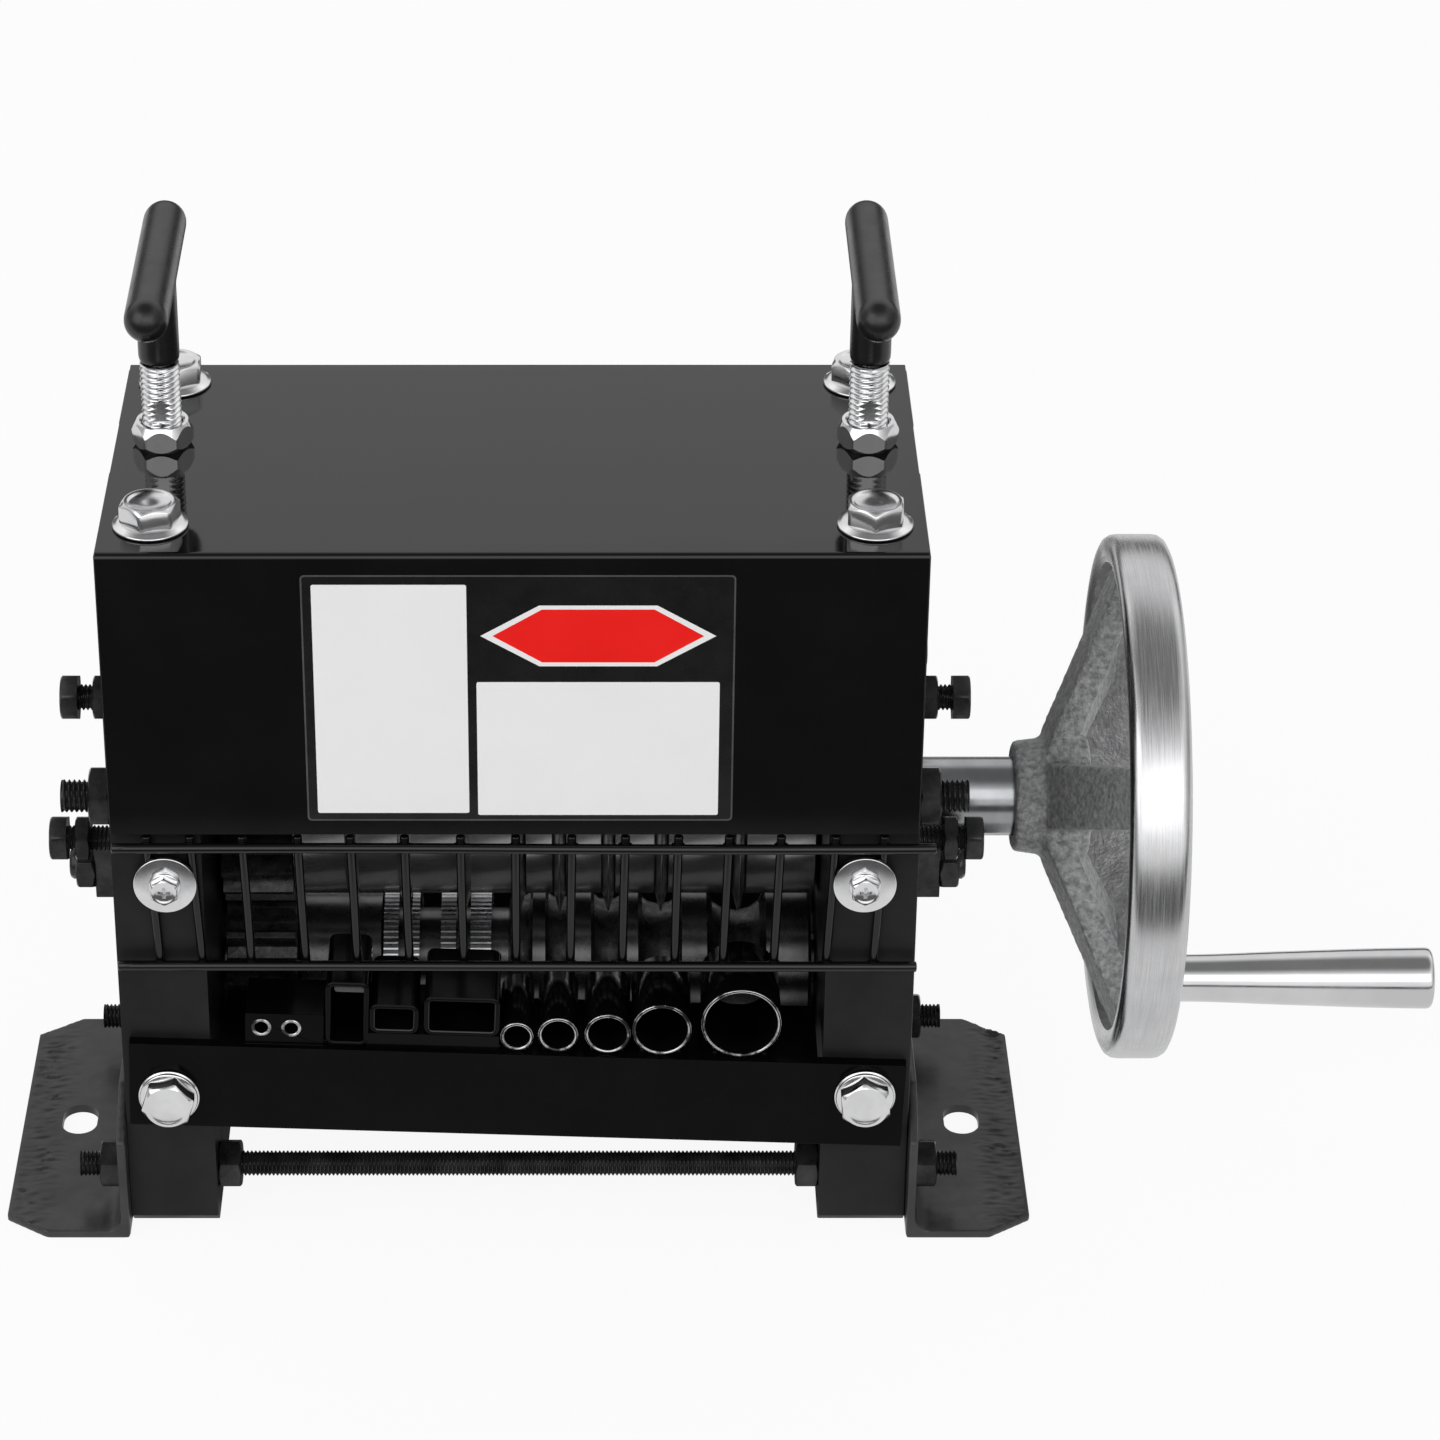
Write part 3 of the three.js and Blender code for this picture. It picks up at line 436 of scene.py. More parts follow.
def shade(mesh, angle, weld=0, outward=False):
    """Smooths faces that meet at less than the angle, after an optional weld."""
    b = bmesh.new()
    b.from_mesh(mesh)
    if weld:
        bmesh.ops.remove_doubles(b, verts=b.verts, dist=weld)
    if outward:
        bmesh.ops.recalc_face_normals(b, faces=b.faces)
    for edge in b.edges:
        if angle and len(edge.link_faces) == 2:
            edge.smooth = edge.calc_face_angle(0) < math.radians(angle)
    for face in b.faces:
        face.smooth = bool(angle)
    b.to_mesh(mesh)
    b.free()


def make(name, shell, mats, body, replaces=(), smooth=40, weld=True):
    """Turns a shell into a piece that rides on a body and takes the place of some nodes."""
    mesh = bpy.data.meshes.new(name)
    mesh.from_pydata([tuple(at(*p)) for p in shell.points], [], shell.faces)
    mesh.polygons.foreach_set("material_index", shell.tints)
    shade(mesh, smooth, PIECE_WELD if weld else 0, outward=True)
    o = bpy.data.objects.new(name, mesh)
    bpy.context.collection.objects.link(o)
    for mat in mats:
        mesh.materials.append(MATS[mat])
    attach(o, body)
    if replaces:
        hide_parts(*replaces)
    return o


def dress(node_name, shell, mats, body="frame", smooth=40, weld=True):
    """Makes the detailed piece that stands in for one node."""
    return make(f"dressed_{node_name}", shell, mats, body, (node_name,), smooth, weld)


def bake(o):
    """Turns the modifiers of a piece into its mesh."""
    view = bpy.context.evaluated_depsgraph_get()
    done = bpy.data.meshes.new_from_object(o.evaluated_get(view))
    o.modifiers.clear()
    o.data = done


def fuse(o, voxel, passes):
    """Melts the overlapping solids of a piece into one skin and relaxes it."""
    skin = o.modifiers.new("skin", "REMESH")
    skin.mode, skin.voxel_size = "VOXEL", voxel
    relax = o.modifiers.new("relax", "SMOOTH")
    relax.factor, relax.iterations = 0.5, passes
    bake(o)


def carve(o, shell, slot, angle, overlapping=False):
    """Cuts a shell out of a piece."""
    tool = make("cutting_tool", shell, [slot], "frame", weld=False)
    cut = o.modifiers.new("cut", "BOOLEAN")
    cut.object, cut.operation, cut.solver = tool, "DIFFERENCE", "EXACT"
    cut.use_self = overlapping
    bake(o)
    shade(o.data, angle)
    bpy.data.objects.remove(tool)


# Hexagons and threads.
HEX_SIDES = 72
HEX_CORNER = 0.985


def hex_row(axis, centre, half, turn, radius_of, place_of):
    """A row round a hexagon with eased corners; both rules are given how far its outline lies out."""
    widest = half / math.cos(math.pi / 6) * HEX_CORNER
    out = []
    for k in range(HEX_SIDES):
        angle = TAU * k / HEX_SIDES
        local = (angle - turn + math.pi / 6) % (math.pi / 3) - math.pi / 6
        reach = min(half / math.cos(local), widest)
        out.append(turned(axis, centre, place_of(reach), radius_of(reach), angle))
    return out


def hex_head(shell, axis, centre, flats, base, top, chamfer, dish=0.0, hollow=0.8, turn=0.0):
    """Forged hexagon head: rounded corners, chamfered crown and a dished middle."""
    half = flats / 2
    crown = half * 0.955
    slope = math.tan(math.radians(chamfer))

    def row(radius_of, place_of):
        return hex_row(axis, centre, half, turn, radius_of, place_of)

    def ring(share, place):
        return row(lambda c: half * share, lambda c: place)

    rows = [
        row(lambda c: c, lambda c: base),
        row(lambda c: c, lambda c: top - max(0.0, c - crown) * slope - 0.25),
        row(lambda c: c - 0.12, lambda c: top - max(0.0, c - crown) * slope - 0.05),
        row(lambda c: crown, lambda c: top),
    ]
    if dish:
        rows += [ring(hollow + 0.08, top - 0.05), ring(hollow, top - dish * 0.5)]
        rows += [ring(hollow - 0.08, top - dish), ring(0.2, top - dish * 1.03)]
    else:
        rows.append(ring(0.8, top + 0.02))
    shell.loft(rows)


def hex_nut(shell, axis, centre, flats, base, top, bore, chamfer=0.5, drop=0.42, turn=0.0):
    """Hexagon nut with both faces turned off at the corners and a bevelled bore."""
    half = flats / 2
    lip, crown = bore + 0.6, half * 0.95

    def ring(radius, place):
        return hex_row(axis, centre, half, turn, lambda c: radius, lambda c: place)

    def outline(place, slope):
        over = half * 0.97
        return hex_row(axis, centre, half, turn, lambda c: c, lambda c: place + max(0.0, c - over) * slope)

    rows = [ring(bore, base + 0.5), ring(lip, base), ring(crown, base), outline(base + 0.15, drop)]
    rows += [outline(top - 0.15, -chamfer), ring(crown, top), ring(lip, top), ring(bore, top - 0.5)]
    shell.grid(rows + [rows[0]])


def screw_rows(axis, centre, radius, pitch, start, stop, depth=None, sides=28, per=7):
    """Rows of a real helical thread, faded out at both ends."""
    depth = depth or pitch * 0.55
    count = max(4, int((stop - start) / pitch * per))
    rows = []
    for i in range(count + 1):
        h = start + (stop - start) * i / count
        fade = min(1.0, (h - start) / (pitch * 0.8), (stop - h) / (pitch * 0.8))
        row = []
        for k in range(sides):
            phase = (h / pitch - k / sides) % 1.0
            cut = min(1.0, max(0.0, (1 - abs(phase * 2 - 1) - 0.12) / 0.76))
            row.append(turned(axis, centre, h, radius - depth * cut * max(0.15, fade), TAU * k / sides))
        rows.append(row)
    return rows


# Zinc plated flange bolts of the cover and the feed bar.
COVER_BOLT_X = 105.2
COVER_BOLT_YS = (("front", 18.4), ("back", 112.3))
BAR_BOLT_X = 106.5
BAR_FACE_Y = -2.0
BOLT_TURNS = {"left": (-14, 2, -17), "right": (-3, -16, 4)}
COVER_BOLT = dict(flats=16, flange=11.15, head=8.1, plate=2.2, shank=4.9, long=21.9, dish=0.6)
BAR_BOLT = dict(flats=14.6, flange=9.35, head=6.9, plate=2.0, shank=3.9, long=19.9, dish=0.45)


def flange_bolt(name, axis, centre, turn, flats, flange, head, plate, shank, long, dish):
    """Bolt with a flange under its dished hexagon head."""
    s = Shell()
    rim = [(0, 0.0), (flange - 0.5, 0.0), (flange, 0.35), (flange + 0.02, plate * 0.42)]
    rim += [(flange - 0.5, plate * 0.55), (flats * 0.60, plate * 0.86)]
    rim += [(flats * 0.5, plate * 1.05), (0, plate * 1.05)]
    s.lathe(axis, centre, rounded(rim, 0.5, 3), 72)
    hex_head(s, axis, centre, flats, plate * 0.7, head, 34, dish, 0.78, turn)
    s.lathe(axis, centre, [(0, -long), (shank - 0.6, -long), (shank, 0.6 - long), (shank, 0.4), (0, 0.4)], 32)
    dress(name, s, ["zinc"], smooth=34)


def flange_bolts(word, side):
    *cover_turns, bar_turn = (math.radians(angle) for angle in BOLT_TURNS[word])
    for (place, y), turn in zip(COVER_BOLT_YS, cover_turns):
        centre = (side * COVER_BOLT_X, y, COVER_TOP)
        flange_bolt(f"cover_bolt_{place}_{word}", "z", centre, turn, **COVER_BOLT)
    centre = (side * BAR_BOLT_X, BAR_FACE_Y, BAR_BOLT_Z)
    flange_bolt(f"bar_bolt_{word}", "-y", centre, bar_turn, **BAR_BOLT)


# Guard screws: a plain washer under a small hexagon head with a cross recess.
SCREW_X = 104.4
SCREW_Y = -0.8
SCREW_Z = 127.95
SCREW_FLATS = 8
SCREW_TOP = 5.9
WASHER_RADIUS = 9.45
WASHER_TALL = 1.55
COLLAR = [(0, 1.4), (4.75, 1.4), (4.75, 2.4), (4.2, 2.75), (0, 2.75)]
CROSS_LONG = 2.1
CROSS_WIDE = 0.55
# Depth and growth of the recess at its floor and above the head.
CROSS_ENDS = ((4.4, 0.55), (6.5, 1.1))


def cross_recess(centre):
    s = Shell()
    x, y, z = centre
    for a, b in ((CROSS_LONG, CROSS_WIDE), (CROSS_WIDE, CROSS_LONG)):
        corners = ((-a, -b), (a, -b), (a, b), (-a, b))
        s.loft([[(x + p * grow, y - deep, z + q * grow) for p, q in corners] for deep, grow in CROSS_ENDS])
    return s


def guard_screw(word, side):
    s = Shell()
    c = (side * SCREW_X, SCREW_Y, SCREW_Z)
    s.lathe("-y", c, rounded(disc(WASHER_RADIUS, 0, WASHER_TALL), 0.35, 3), 72)
    s.lathe("-y", c, rounded(COLLAR, 0.3, 2), 48)
    hex_head(s, "-y", c, SCREW_FLATS, 2.5, SCREW_TOP, 26, dish=0.35)
    screw = dress(f"guard_screw_{word}", s, ["zinc"], smooth=34)
    carve(screw, cross_recess(c), "zinc", 34, overlapping=True)


# Tee handles: a threaded stud with a milled flat, its lock nut and a dipped vinyl grip.
TEE_X = 105.6
TEE_Z = 294.0
STUD_RADIUS = 5.97
STUD_PITCH = 1.75
STUD_FROM = 164.0
STUD_TO = 265.85
STUD_FLAT = (247.2, 254.6)
STUD_FLAT_Y = SHAFT_Y - 4.75
STUD_NECK = 4.9
STUD_DISC = 8.9
STUD_FOOT = 150
STUD_DISC_TOP = 153
STUD_CORE = 3.9
TEE_REACH = (-31.8, 37.4)
LOCK_NUT_FLATS = 16.4
LOCK_NUT_TOP = 246.4
LOCK_NUT_BORE = 6.25
GRIP_RADIUS = 6.55
GRIP_SIDES = 40
GRIP_STEM = [(0, 266.2), (5.6, 266.2), (6.1, 266.7), (6.2, 268.5), (6.15, TEE_Z), (0, TEE_Z)]
GRIP_TURNS = (0.25, 0.5, 0.8, 1.1, 1.35)


def stud_thread(centre):
    """The stud's thread, cut flat at the front for a spanner."""
    rows = screw_rows("z", centre, STUD_RADIUS, STUD_PITCH, STUD_FROM, STUD_TO, 0.95, sides=48, per=9)
    low, high = STUD_FLAT
    for row in rows:
        for i, (x, y, z) in enumerate(row):
            if low < z < high and y < STUD_FLAT_Y:
                row[i] = (x, STUD_FLAT_Y, z)
    return rows


def tee_screw(word, x):
    s = Shell()
    c = (x, SHAFT_Y, 0)
    foot = [(0, STUD_FOOT), (STUD_DISC, STUD_FOOT), (STUD_DISC, STUD_DISC_TOP), (STUD_NECK, STUD_DISC_TOP)]
    foot += [(STUD_NECK, STUD_FROM + 2), (0, STUD_FROM + 2)]
    s.lathe("z", c, foot, 40)
    s.loft(stud_thread(c))
    s.lathe("z", c, disc(STUD_CORE, 265.4, 293.9), 24)
    s.lathe("y", (x, SHAFT_Y, TEE_Z), disc(STUD_CORE, *TEE_REACH), 24)
    dress(f"tee_screw_{word}", s, ["zinc"], f"tee_{word}", smooth=50)


def lock_nut(word, x):
    s = Shell()
    sizes = (LOCK_NUT_FLATS, COVER_TOP, LOCK_NUT_TOP, LOCK_NUT_BORE)
    hex_nut(s, "z", (x, SHAFT_Y, 0), *sizes, chamfer=2.2, drop=1.3, turn=math.pi / 6)
    dress(f"lock_nut_{word}", s, ["zinc"], smooth=22)


def tee_grip(word, x):
    """Dipped grip whose stem flows into the cross bar."""
    s = Shell()
    r = GRIP_RADIUS
    front, back = TEE_REACH[0] - 0.1, TEE_REACH[1] + 0.1
    bar = [(r * math.sin(a), front - r * math.cos(a)) for a in (0.02, *GRIP_TURNS, math.pi / 2)]
    bar += [(r, y) for y in range(-20, 31, 10)]
    bar += [(r * math.cos(a), back + r * math.sin(a)) for a in (0, *GRIP_TURNS, 1.55)]
    s.lathe("y", (x, SHAFT_Y, TEE_Z), bar, GRIP_SIDES)
    s.lathe("z", (x, SHAFT_Y, 0), GRIP_STEM, GRIP_SIDES)
    grip = dress(f"tee_grip_{word}", s, ["vinyl"], f"tee_{word}", weld=False)
    fuse(grip, voxel=0.00062, passes=9)
    shade(grip.data, 80)


def tee_handle(word, side):
    for build in (tee_screw, lock_nut, tee_grip):
        build(word, side * TEE_X)


# Black bolts, rods and nuts at the sides, with their threads showing.
SIDE_BOLT_Y = 34
SIDE_BOLT_FLATS = 13
SIDE_BOLT_HEAD = 5.25
SIDE_BOLT_RADIUS = 3.95
SIDE_BOLT_PITCH = 1.25
SIDE_BOLT_END = 106.6
# Each bolt: its place, height, where its head begins, and the two faces of its nut.
SIDE_BOLTS = (
    ("upper", 172.0, 131.0, POST_OUTSIDE, 126.5),
    ("lower", 122.5, 137.0, 130.0, 134.5),
)
LOWER_NUT = dict(flats=14, tall=7, skin=POST_OUTSIDE + FOOT_PLATE, pitch=1.25)
UPPER_NUT = dict(flats=17, tall=6.5, skin=POST_OUTSIDE, pitch=1.5)
# Each rod: its name, y, z, radius, half length and nuts.
RODS = (
    ("lower_rod_front", 14.0, 15.5, 4, 137.0, LOWER_NUT),
    ("lower_rod_back", 97.0, 15.5, 4, 137.0, LOWER_NUT),
    ("upper_rod_front", 14.0, 149.5, 5, 135.5, UPPER_NUT),
    ("upper_rod_back", 104.0, 149.5, 5, 128.5, UPPER_NUT),
)


def side_bolt(word, side, place, z, head, nut_from, nut_to):
    s = Shell()
    axis = "x" if side > 0 else "-x"
    c = (0, SIDE_BOLT_Y, z)
    hex_head(s, axis, c, SIDE_BOLT_FLATS, head, head + SIDE_BOLT_HEAD, 30)
    hex_nut(s, axis, c, SIDE_BOLT_FLATS, nut_from, nut_to, 3.6)
    s.lathe(axis, c, disc(3.9, SIDE_BOLT_END, 120.6), 28)
    s.loft(screw_rows(axis, c, SIDE_BOLT_RADIUS, SIDE_BOLT_PITCH, 120.0, head + 0.4, sides=32, per=8))
    dress(f"side_bolt_{place}_{word}", s, ["black_oxide"], smooth=36)


def side_bolts(word, side):
    for bolt in SIDE_BOLTS:
        side_bolt(word, side, *bolt)


def tie_rod(name, y, z, radius, end, flats, tall, skin, pitch):
    """Threaded rod through both posts, with a nut on each side of each post."""
    s = Shell()
    c = (0, y, z)
    bore = radius - 0.5
    s.loft(screw_rows("x", c, radius - 0.03, pitch, -end, end))
    for axis in ("x", "-x"):
        hex_nut(s, axis, c, flats, skin, skin + tall, bore)
        hex_nut(s, axis, c, flats, POST_INSIDE - tall, POST_INSIDE, bore)
    dress(name, s, ["black_oxide"], smooth=36)


# Feed openings, welded to the bar. Their finishes are the outside, the inside painted dead black as shade,
# and the lip.
FEED_LONG = 28.0
PIPE_WALL = 1.18
PIPE_SIDES = 72
PIPE_FINISH = ["black_gloss", "painted_shade_black", "worn_edge"]
FLAT_FINISH = ["black_gloss", "painted_shade_black", "black_paint"]
PAINTED_SHADE = 1
LIP = 2
# Strips of the pipe's wall that aren't plain paint, counted from its inner lip; the bore is painted shade.
PIPE_STRIPS = ((0, LIP), (1, LIP), (3, LIP), (8, PAINTED_SHADE))
# Each flat feed: its middle, width, height and how far it stands above the bar.
FLAT_FEEDS = ((-52.4, 13.2, 23.0, 0.0), (-38.1, 14.9, 10.5, 4.9), (-17.5, 23.0, 13.8, 4.9))
FLAT_CORNER = 2.6
# Inset of the flat feeds' wall at each step from the inner lip, round the outside, to the inner back.
FLAT_STEPS = ((1.6, 0.4), (1.3, 0.1), (0.8, 0.0), (0.3, 0.1), (0.0, 0.4), (0.0, 27.7), (0.35, 28.0),
              (1.2, 27.95), (1.6, 27.65))
SHELF = ((-46.5, 0.1, BAR_TOP + 0.05), (-6.1, 27.9, 72.1))
FINE_BORES = (-78.4, -69.3)
FINE_RISE = 6
FINE_MOUTH = [(1.95, 0.3), (2.1, -0.05), (2.5, -0.25), (3.0, -0.1), (3.2, 0.3)]


def feed_pipe(name, x, r):
    """Thin pipe with softened lips, rubbed bright at both edges, with painted shade inside."""
    s = Shell()
    inner = r - PIPE_WALL
    wall = [(inner, 0.4), (r - 0.95, 0.1), (r - 0.6, 0.0), (r - 0.25, 0.1), (r, 0.4)]
    wall += [(r, FEED_LONG - 0.3), (r - 0.3, FEED_LONG), (r - 0.9, FEED_LONG), (inner, FEED_LONG - 0.3)]
    s.lathe("y", (x, 0, BAR_TOP + r), wall, PIPE_SIDES, ring=True)
    for strip, tint in PIPE_STRIPS:
        s.repaint(strip * PIPE_SIDES, PIPE_SIDES, tint)
    dress(name, tipped(s), PIPE_FINISH, smooth=50)


def flat_tube(s, x, wide, tall, lift):
    """Rectangular tube with round corners."""
    middle = BAR_TOP + lift + tall / 2
    rows = []
    for inset, y in FLAT_STEPS:
        corner = max(0.8, FLAT_CORNER - inset)
        outline = rounded_rect(wide / 2 - inset, tall / 2 - inset, corner)
        rows.append([(x + a, y, middle + b) for a, b in outline])
    first, around = len(s.tints), len(rows[0])
    s.grid(rows + [rows[0]])
    # The inner wall is painted dead black as shade.
    s.repaint(first + (len(rows) - 1) * around, around, PAINTED_SHADE)
    if lift:
        s.repaint(first, around, LIP)


def flat_feed():
    """Three rectangular tubes, two of them on a small shelf plate."""
    s = Shell()
    for tube in FLAT_FEEDS:
        flat_tube(s, *tube)
    s.block(*SHELF)
    dress("flat_feed", tipped(s), FLAT_FINISH)


def fine_mouths():
    """Rubbed mouths of the two fine bores."""
    s = Shell()
    for x in FINE_BORES:
        s.lathe("y", (x, 0, BAR_TOP + FINE_RISE), FINE_MOUTH, 48, ring=True)
    make("fine_mouths", tipped(s), ["worn_edge"], "frame", smooth=60)


# Uneven weld beads along the feet of the feeds.
BEAD_RADIUS = 0.95
BEAD_STEP = 0.88
BEAD_STEPS = 30
FLAT_BEADS = [(-59.2, 67.3), (-6.0, 67.4)]


def weld_bead(s, x, z, draw):
    sizes = [draw.uniform(0.55, 0.95) for _ in range(BEAD_STEPS)]
    path = []
    for k in range(BEAD_STEPS):
        path.append((x + draw.uniform(-0.12, 0.12), 1.4 + k * BEAD_STEP, z + draw.uniform(-0.08, 0.12)))
    sweep(s, path, BEAD_RADIUS, 10, sizes)


def weld_beads():
    s = Shell()
    draw = random.Random(3)
    pipe_beads = [(x - PIPE_SHIFT + k * r * 0.62, 67.35) for x, r in FEEDS for k in (-1, 1)]
    for x, z in pipe_beads + FLAT_BEADS:
        weld_bead(s, x, z, draw)
    make("weld_beads", tipped(s), ["black_gloss"], "frame", smooth=80)


# Wire guard: two rails and fifteen round wires, spot welded where they cross.
LOW_RAIL_Z = 99.0
HIGH_RAIL_Z = 140.5
RAIL_LEFT = -119.4
# Each rail: its height and right end.
RAILS = ((HIGH_RAIL_Z, 124.9), (LOW_RAIL_Z, 120.4))
RAIL_Y = -1.6
RAIL_RADIUS = 1.6
RAIL_STEPS = 40
WIRES = [
    -108.3, -95.5, -80.5, -63.9, -48.4, -32.4, -15.9, 0.2,
    16.7, 32.5, 48.3, 63.1, 78.5, 94.5, 108.8,
]
WIRE_Y = 0.6
WIRE_RADIUS = 1.38
WIRE_FOOT = 97.6
WIRE_TALL = 45.8
WIRE_STEPS = 14


def guard_rail(s, z, right, draw):
    a, b = draw.uniform(0, 6), draw.uniform(0, 6)
    path = []
    for k in range(RAIL_STEPS + 1):
        x = RAIL_LEFT + (right - RAIL_LEFT) * k / RAIL_STEPS
        path.append((x, RAIL_Y + 0.12 * math.sin(x / 31 + a), z + 0.22 * math.sin(x / 47 + b)))
    sweep(s, path, RAIL_RADIUS, 20)


def spot_welds(s, x, z, draw):
    """Small beads on both sides of a wire where it crosses a rail."""
    for k in (-1, 1):
        path = [(x + k * out, y, z + rise) for out, y, rise in
                ((1.15, -0.35, -0.9), (1.25, -0.55, 0), (1.1, -0.35, 0.9))]
        sweep(s, path, draw.uniform(0.75, 1.0), 10)


def guard_wire(s, x, draw):
    lean, bow = draw.uniform(-0.25, 0.25) + x * 0.022, draw.uniform(-0.15, 0.15)
    path = []
    for t in [k / WIRE_STEPS for k in range(WIRE_STEPS + 1)]:
        path.append((x + lean * (t - 0.5) + bow * math.sin(math.pi * t), WIRE_Y, WIRE_FOOT + WIRE_TALL * t))
    sweep(s, path, WIRE_RADIUS, 18)
    for z in (LOW_RAIL_Z, HIGH_RAIL_Z):
        spot_welds(s, x + lean * ((z - WIRE_FOOT) / WIRE_TALL - 0.5), z, draw)


def wire_guard():
    s = Shell()
    draw = random.Random(11)
    for z, right in RAILS:
        guard_rail(s, z, right, draw)
    for x in WIRES:
        guard_wire(s, x, draw)
    dress("wire_guard", s, ["black_paint"], smooth=60)


# Feed roller: turned drum with a groove behind each pipe and fine teeth on its gripping bands.
ROLLER_END = 119.5
ROLLER_SHAFT = 7.95
DRUM_LEFT = -69.2
DRUM_RIGHT = 92.0
DRUM_RADIUS = 23.0
DRUM_SIDES = 96
GROOVE_STEPS = (-0.8, -0.5, 0.0, 0.5, 0.8)
BANDS = [(-42.6, -38.0), (-33.8, -31.4), (-24.6, -19.9), (-15.3, -8.8)]
BAND_BODY = 22.0
BAND_FLOOR = 16.0
TEETH = 78
# Outlines of a tooth and of the valley beside it, as (radius, share of one turn of the teeth).
TOOTH = ((22.2, 0.22), (22.95, 0.32), (22.95, 0.62), (22.2, 0.72))
VALLEY = ((22.2, -0.28), (22.2, 0.22))
TOOTH_ROOT = 21.9
# The roller's finishes: plain drum, bright teeth, and groove floors painted dark as shade.
ROLLER_FINISH = ["roller_steel", "knurl_bright", "grease_and_painted_shade_black"]
BRIGHT = 1
PAINTED_GROOVE_SHADE = 2


def drum_profile():
    """The drum's outline, and the strips of it that are groove floors."""
    neck, end = ROLLER_SHAFT, ROLLER_END
    out = [(0, -end), (7.2, -end), (neck, -118.6), (neck, DRUM_LEFT)]
    out += [(20.2, DRUM_LEFT), (21.0, -68.4), (21.0, -43.5), (16.2, -43.1)]
    for a, b in BANDS:
        out += [(BAND_FLOOR, a + 0.02), (BAND_BODY, a + 0.02), (BAND_BODY, b - 0.02), (BAND_FLOOR, b - 0.02)]
    floors = []
    start = BAND_FLOOR
    for x, r in FEEDS:
        half = r * 0.76
        floors += range(len(out), len(out) + len(GROOVE_STEPS) + 1)
        out.append((start, x - half))
        out += [(DRUM_RADIUS - half * 0.85 * math.sqrt(1 - t * t), x + half * t) for t in GROOVE_STEPS]
        out.append((DRUM_RADIUS, x + half))
        start = DRUM_RADIUS
    out += [(DRUM_RADIUS, 91.0), (22.2, DRUM_RIGHT), (neck, DRUM_RIGHT), (neck, 118.6), (7.2, end), (0, end)]
    return out, floors


def serration(s, band, k):
    """One tooth of a band, with its two ends, and the valley beside it."""
    def side(x, outline):
        turns = [(r, TAU * (k + share) / TEETH) for r, share in outline]
        return [(x, SHAFT_Y + r * math.cos(angle), LOWER_Z + r * math.sin(angle)) for r, angle in turns]

    s.grid([side(x, TOOTH) for x in band], False, BRIGHT)
    s.grid([side(x, VALLEY) for x in band], False)
    root = [(TOOTH_ROOT, share) for _, share in TOOTH]
    for x in band:
        s.grid([side(x, root), side(x, TOOTH)], False, BRIGHT)


def feed_roller():
    s = Shell()
    profile, floors = drum_profile()
    s.lathe("x", (0, SHAFT_Y, LOWER_Z), profile, DRUM_SIDES)
    # The groove floors are painted dark as shade.
    for strip in floors:
        s.repaint(strip * DRUM_SIDES, DRUM_SIDES, PAINTED_GROOVE_SHADE)
    for band in BANDS:
        for k in range(TEETH):
            serration(s, band, k)
    dress("feed_roller", s, ROLLER_FINISH, "roller", smooth=25)


# Crank handle: a slim swelling grip, turned and polished. Its swell is (radius, distance out).
HANDLE_FROM = 203.7
HANDLE_TO = 291.4
HANDLE_BORE = 4.3
HANDLE_SWELL = [(7.62, 1.0), (7.6, 12), (7.9, 23), (8.4, 35), (9.0, 52), (9.5, 68), (9.82, 85.6)]


def crank_grip():
    s = Shell()
    near, far = HANDLE_FROM, HANDLE_TO
    out = [(0, far - 13), (HANDLE_BORE, far - 13), (HANDLE_BORE, near + 0.4), (4.7, near), (6.9, near)]
    out += [(7.4, near + 0.25)]
    out += spline([(r, near + x) for r, x in HANDLE_SWELL], 8)
    out += [(9.75, far - 1.1), (9.45, far - 0.45), (8.9, far - 0.05), (3.0, far), (0, far)]
    s.lathe("x", (0, SHAFT_Y, CRANK_Z), out, 96)
    dress("crank_grip", s, ["polished_steel"], "crank_handle", smooth=45)


# Feet: angle plates with a round inner corner, rippled tops and a slot for one bolt.
FOOT_FRONT = -4.9
FOOT_BACK = 114.7
FOOT_REACH = 39.3
FOOT_HIGH = 47.9
# The flat part as (distance out, y), and the upright part as (y, z), both with cut corners.
FOOT_WING = [
    (0.1, FOOT_FRONT), (26.3, FOOT_FRONT), (FOOT_REACH, 4.1),
    (FOOT_REACH, 105.1), (25.4, FOOT_BACK), (0.1, FOOT_BACK),
]
FOOT_WEB = [
    (FOOT_FRONT, 0.05), (FOOT_BACK, 0.05), (FOOT_BACK, 37.9),
    (98.7, FOOT_HIGH), (11.1, FOOT_HIGH), (FOOT_FRONT, 35.9),
]
FOOT_BEND = 4.4
SLOT_X = 141.75
SLOT_Y = 55.9
SLOT_RADIUS = 5.6
SLOT_STRETCH = 2.5
RIPPLE_FROM = 23.0
RIPPLE_TO = 38.6
RIPPLE_TALL = 0.95


def rough_at(x, y, z):
    return turbulence.noise(Vector((x, y, z)))


def foot_ripple(x, y, side):
    """Height of the torn ripples near the outer edge of a foot's top."""
    edge = min(1.0, max(0.0, (x - RIPPLE_FROM) / 8.0)) * min(1.0, (RIPPLE_TO - x) / 1.5)
    patch = 0.55 + 0.9 * rough_at(x * 0.09, y * 0.06, 3.0 * side)
    ridge = rough_at(x * 0.20, y * 0.85 + 0.5 * math.sin(x * 0.4), 7.0 + side)
    return RIPPLE_TALL * edge * max(0.0, patch) * ridge + 0.03 * rough_at(x * 0.3, y * 0.3, side)


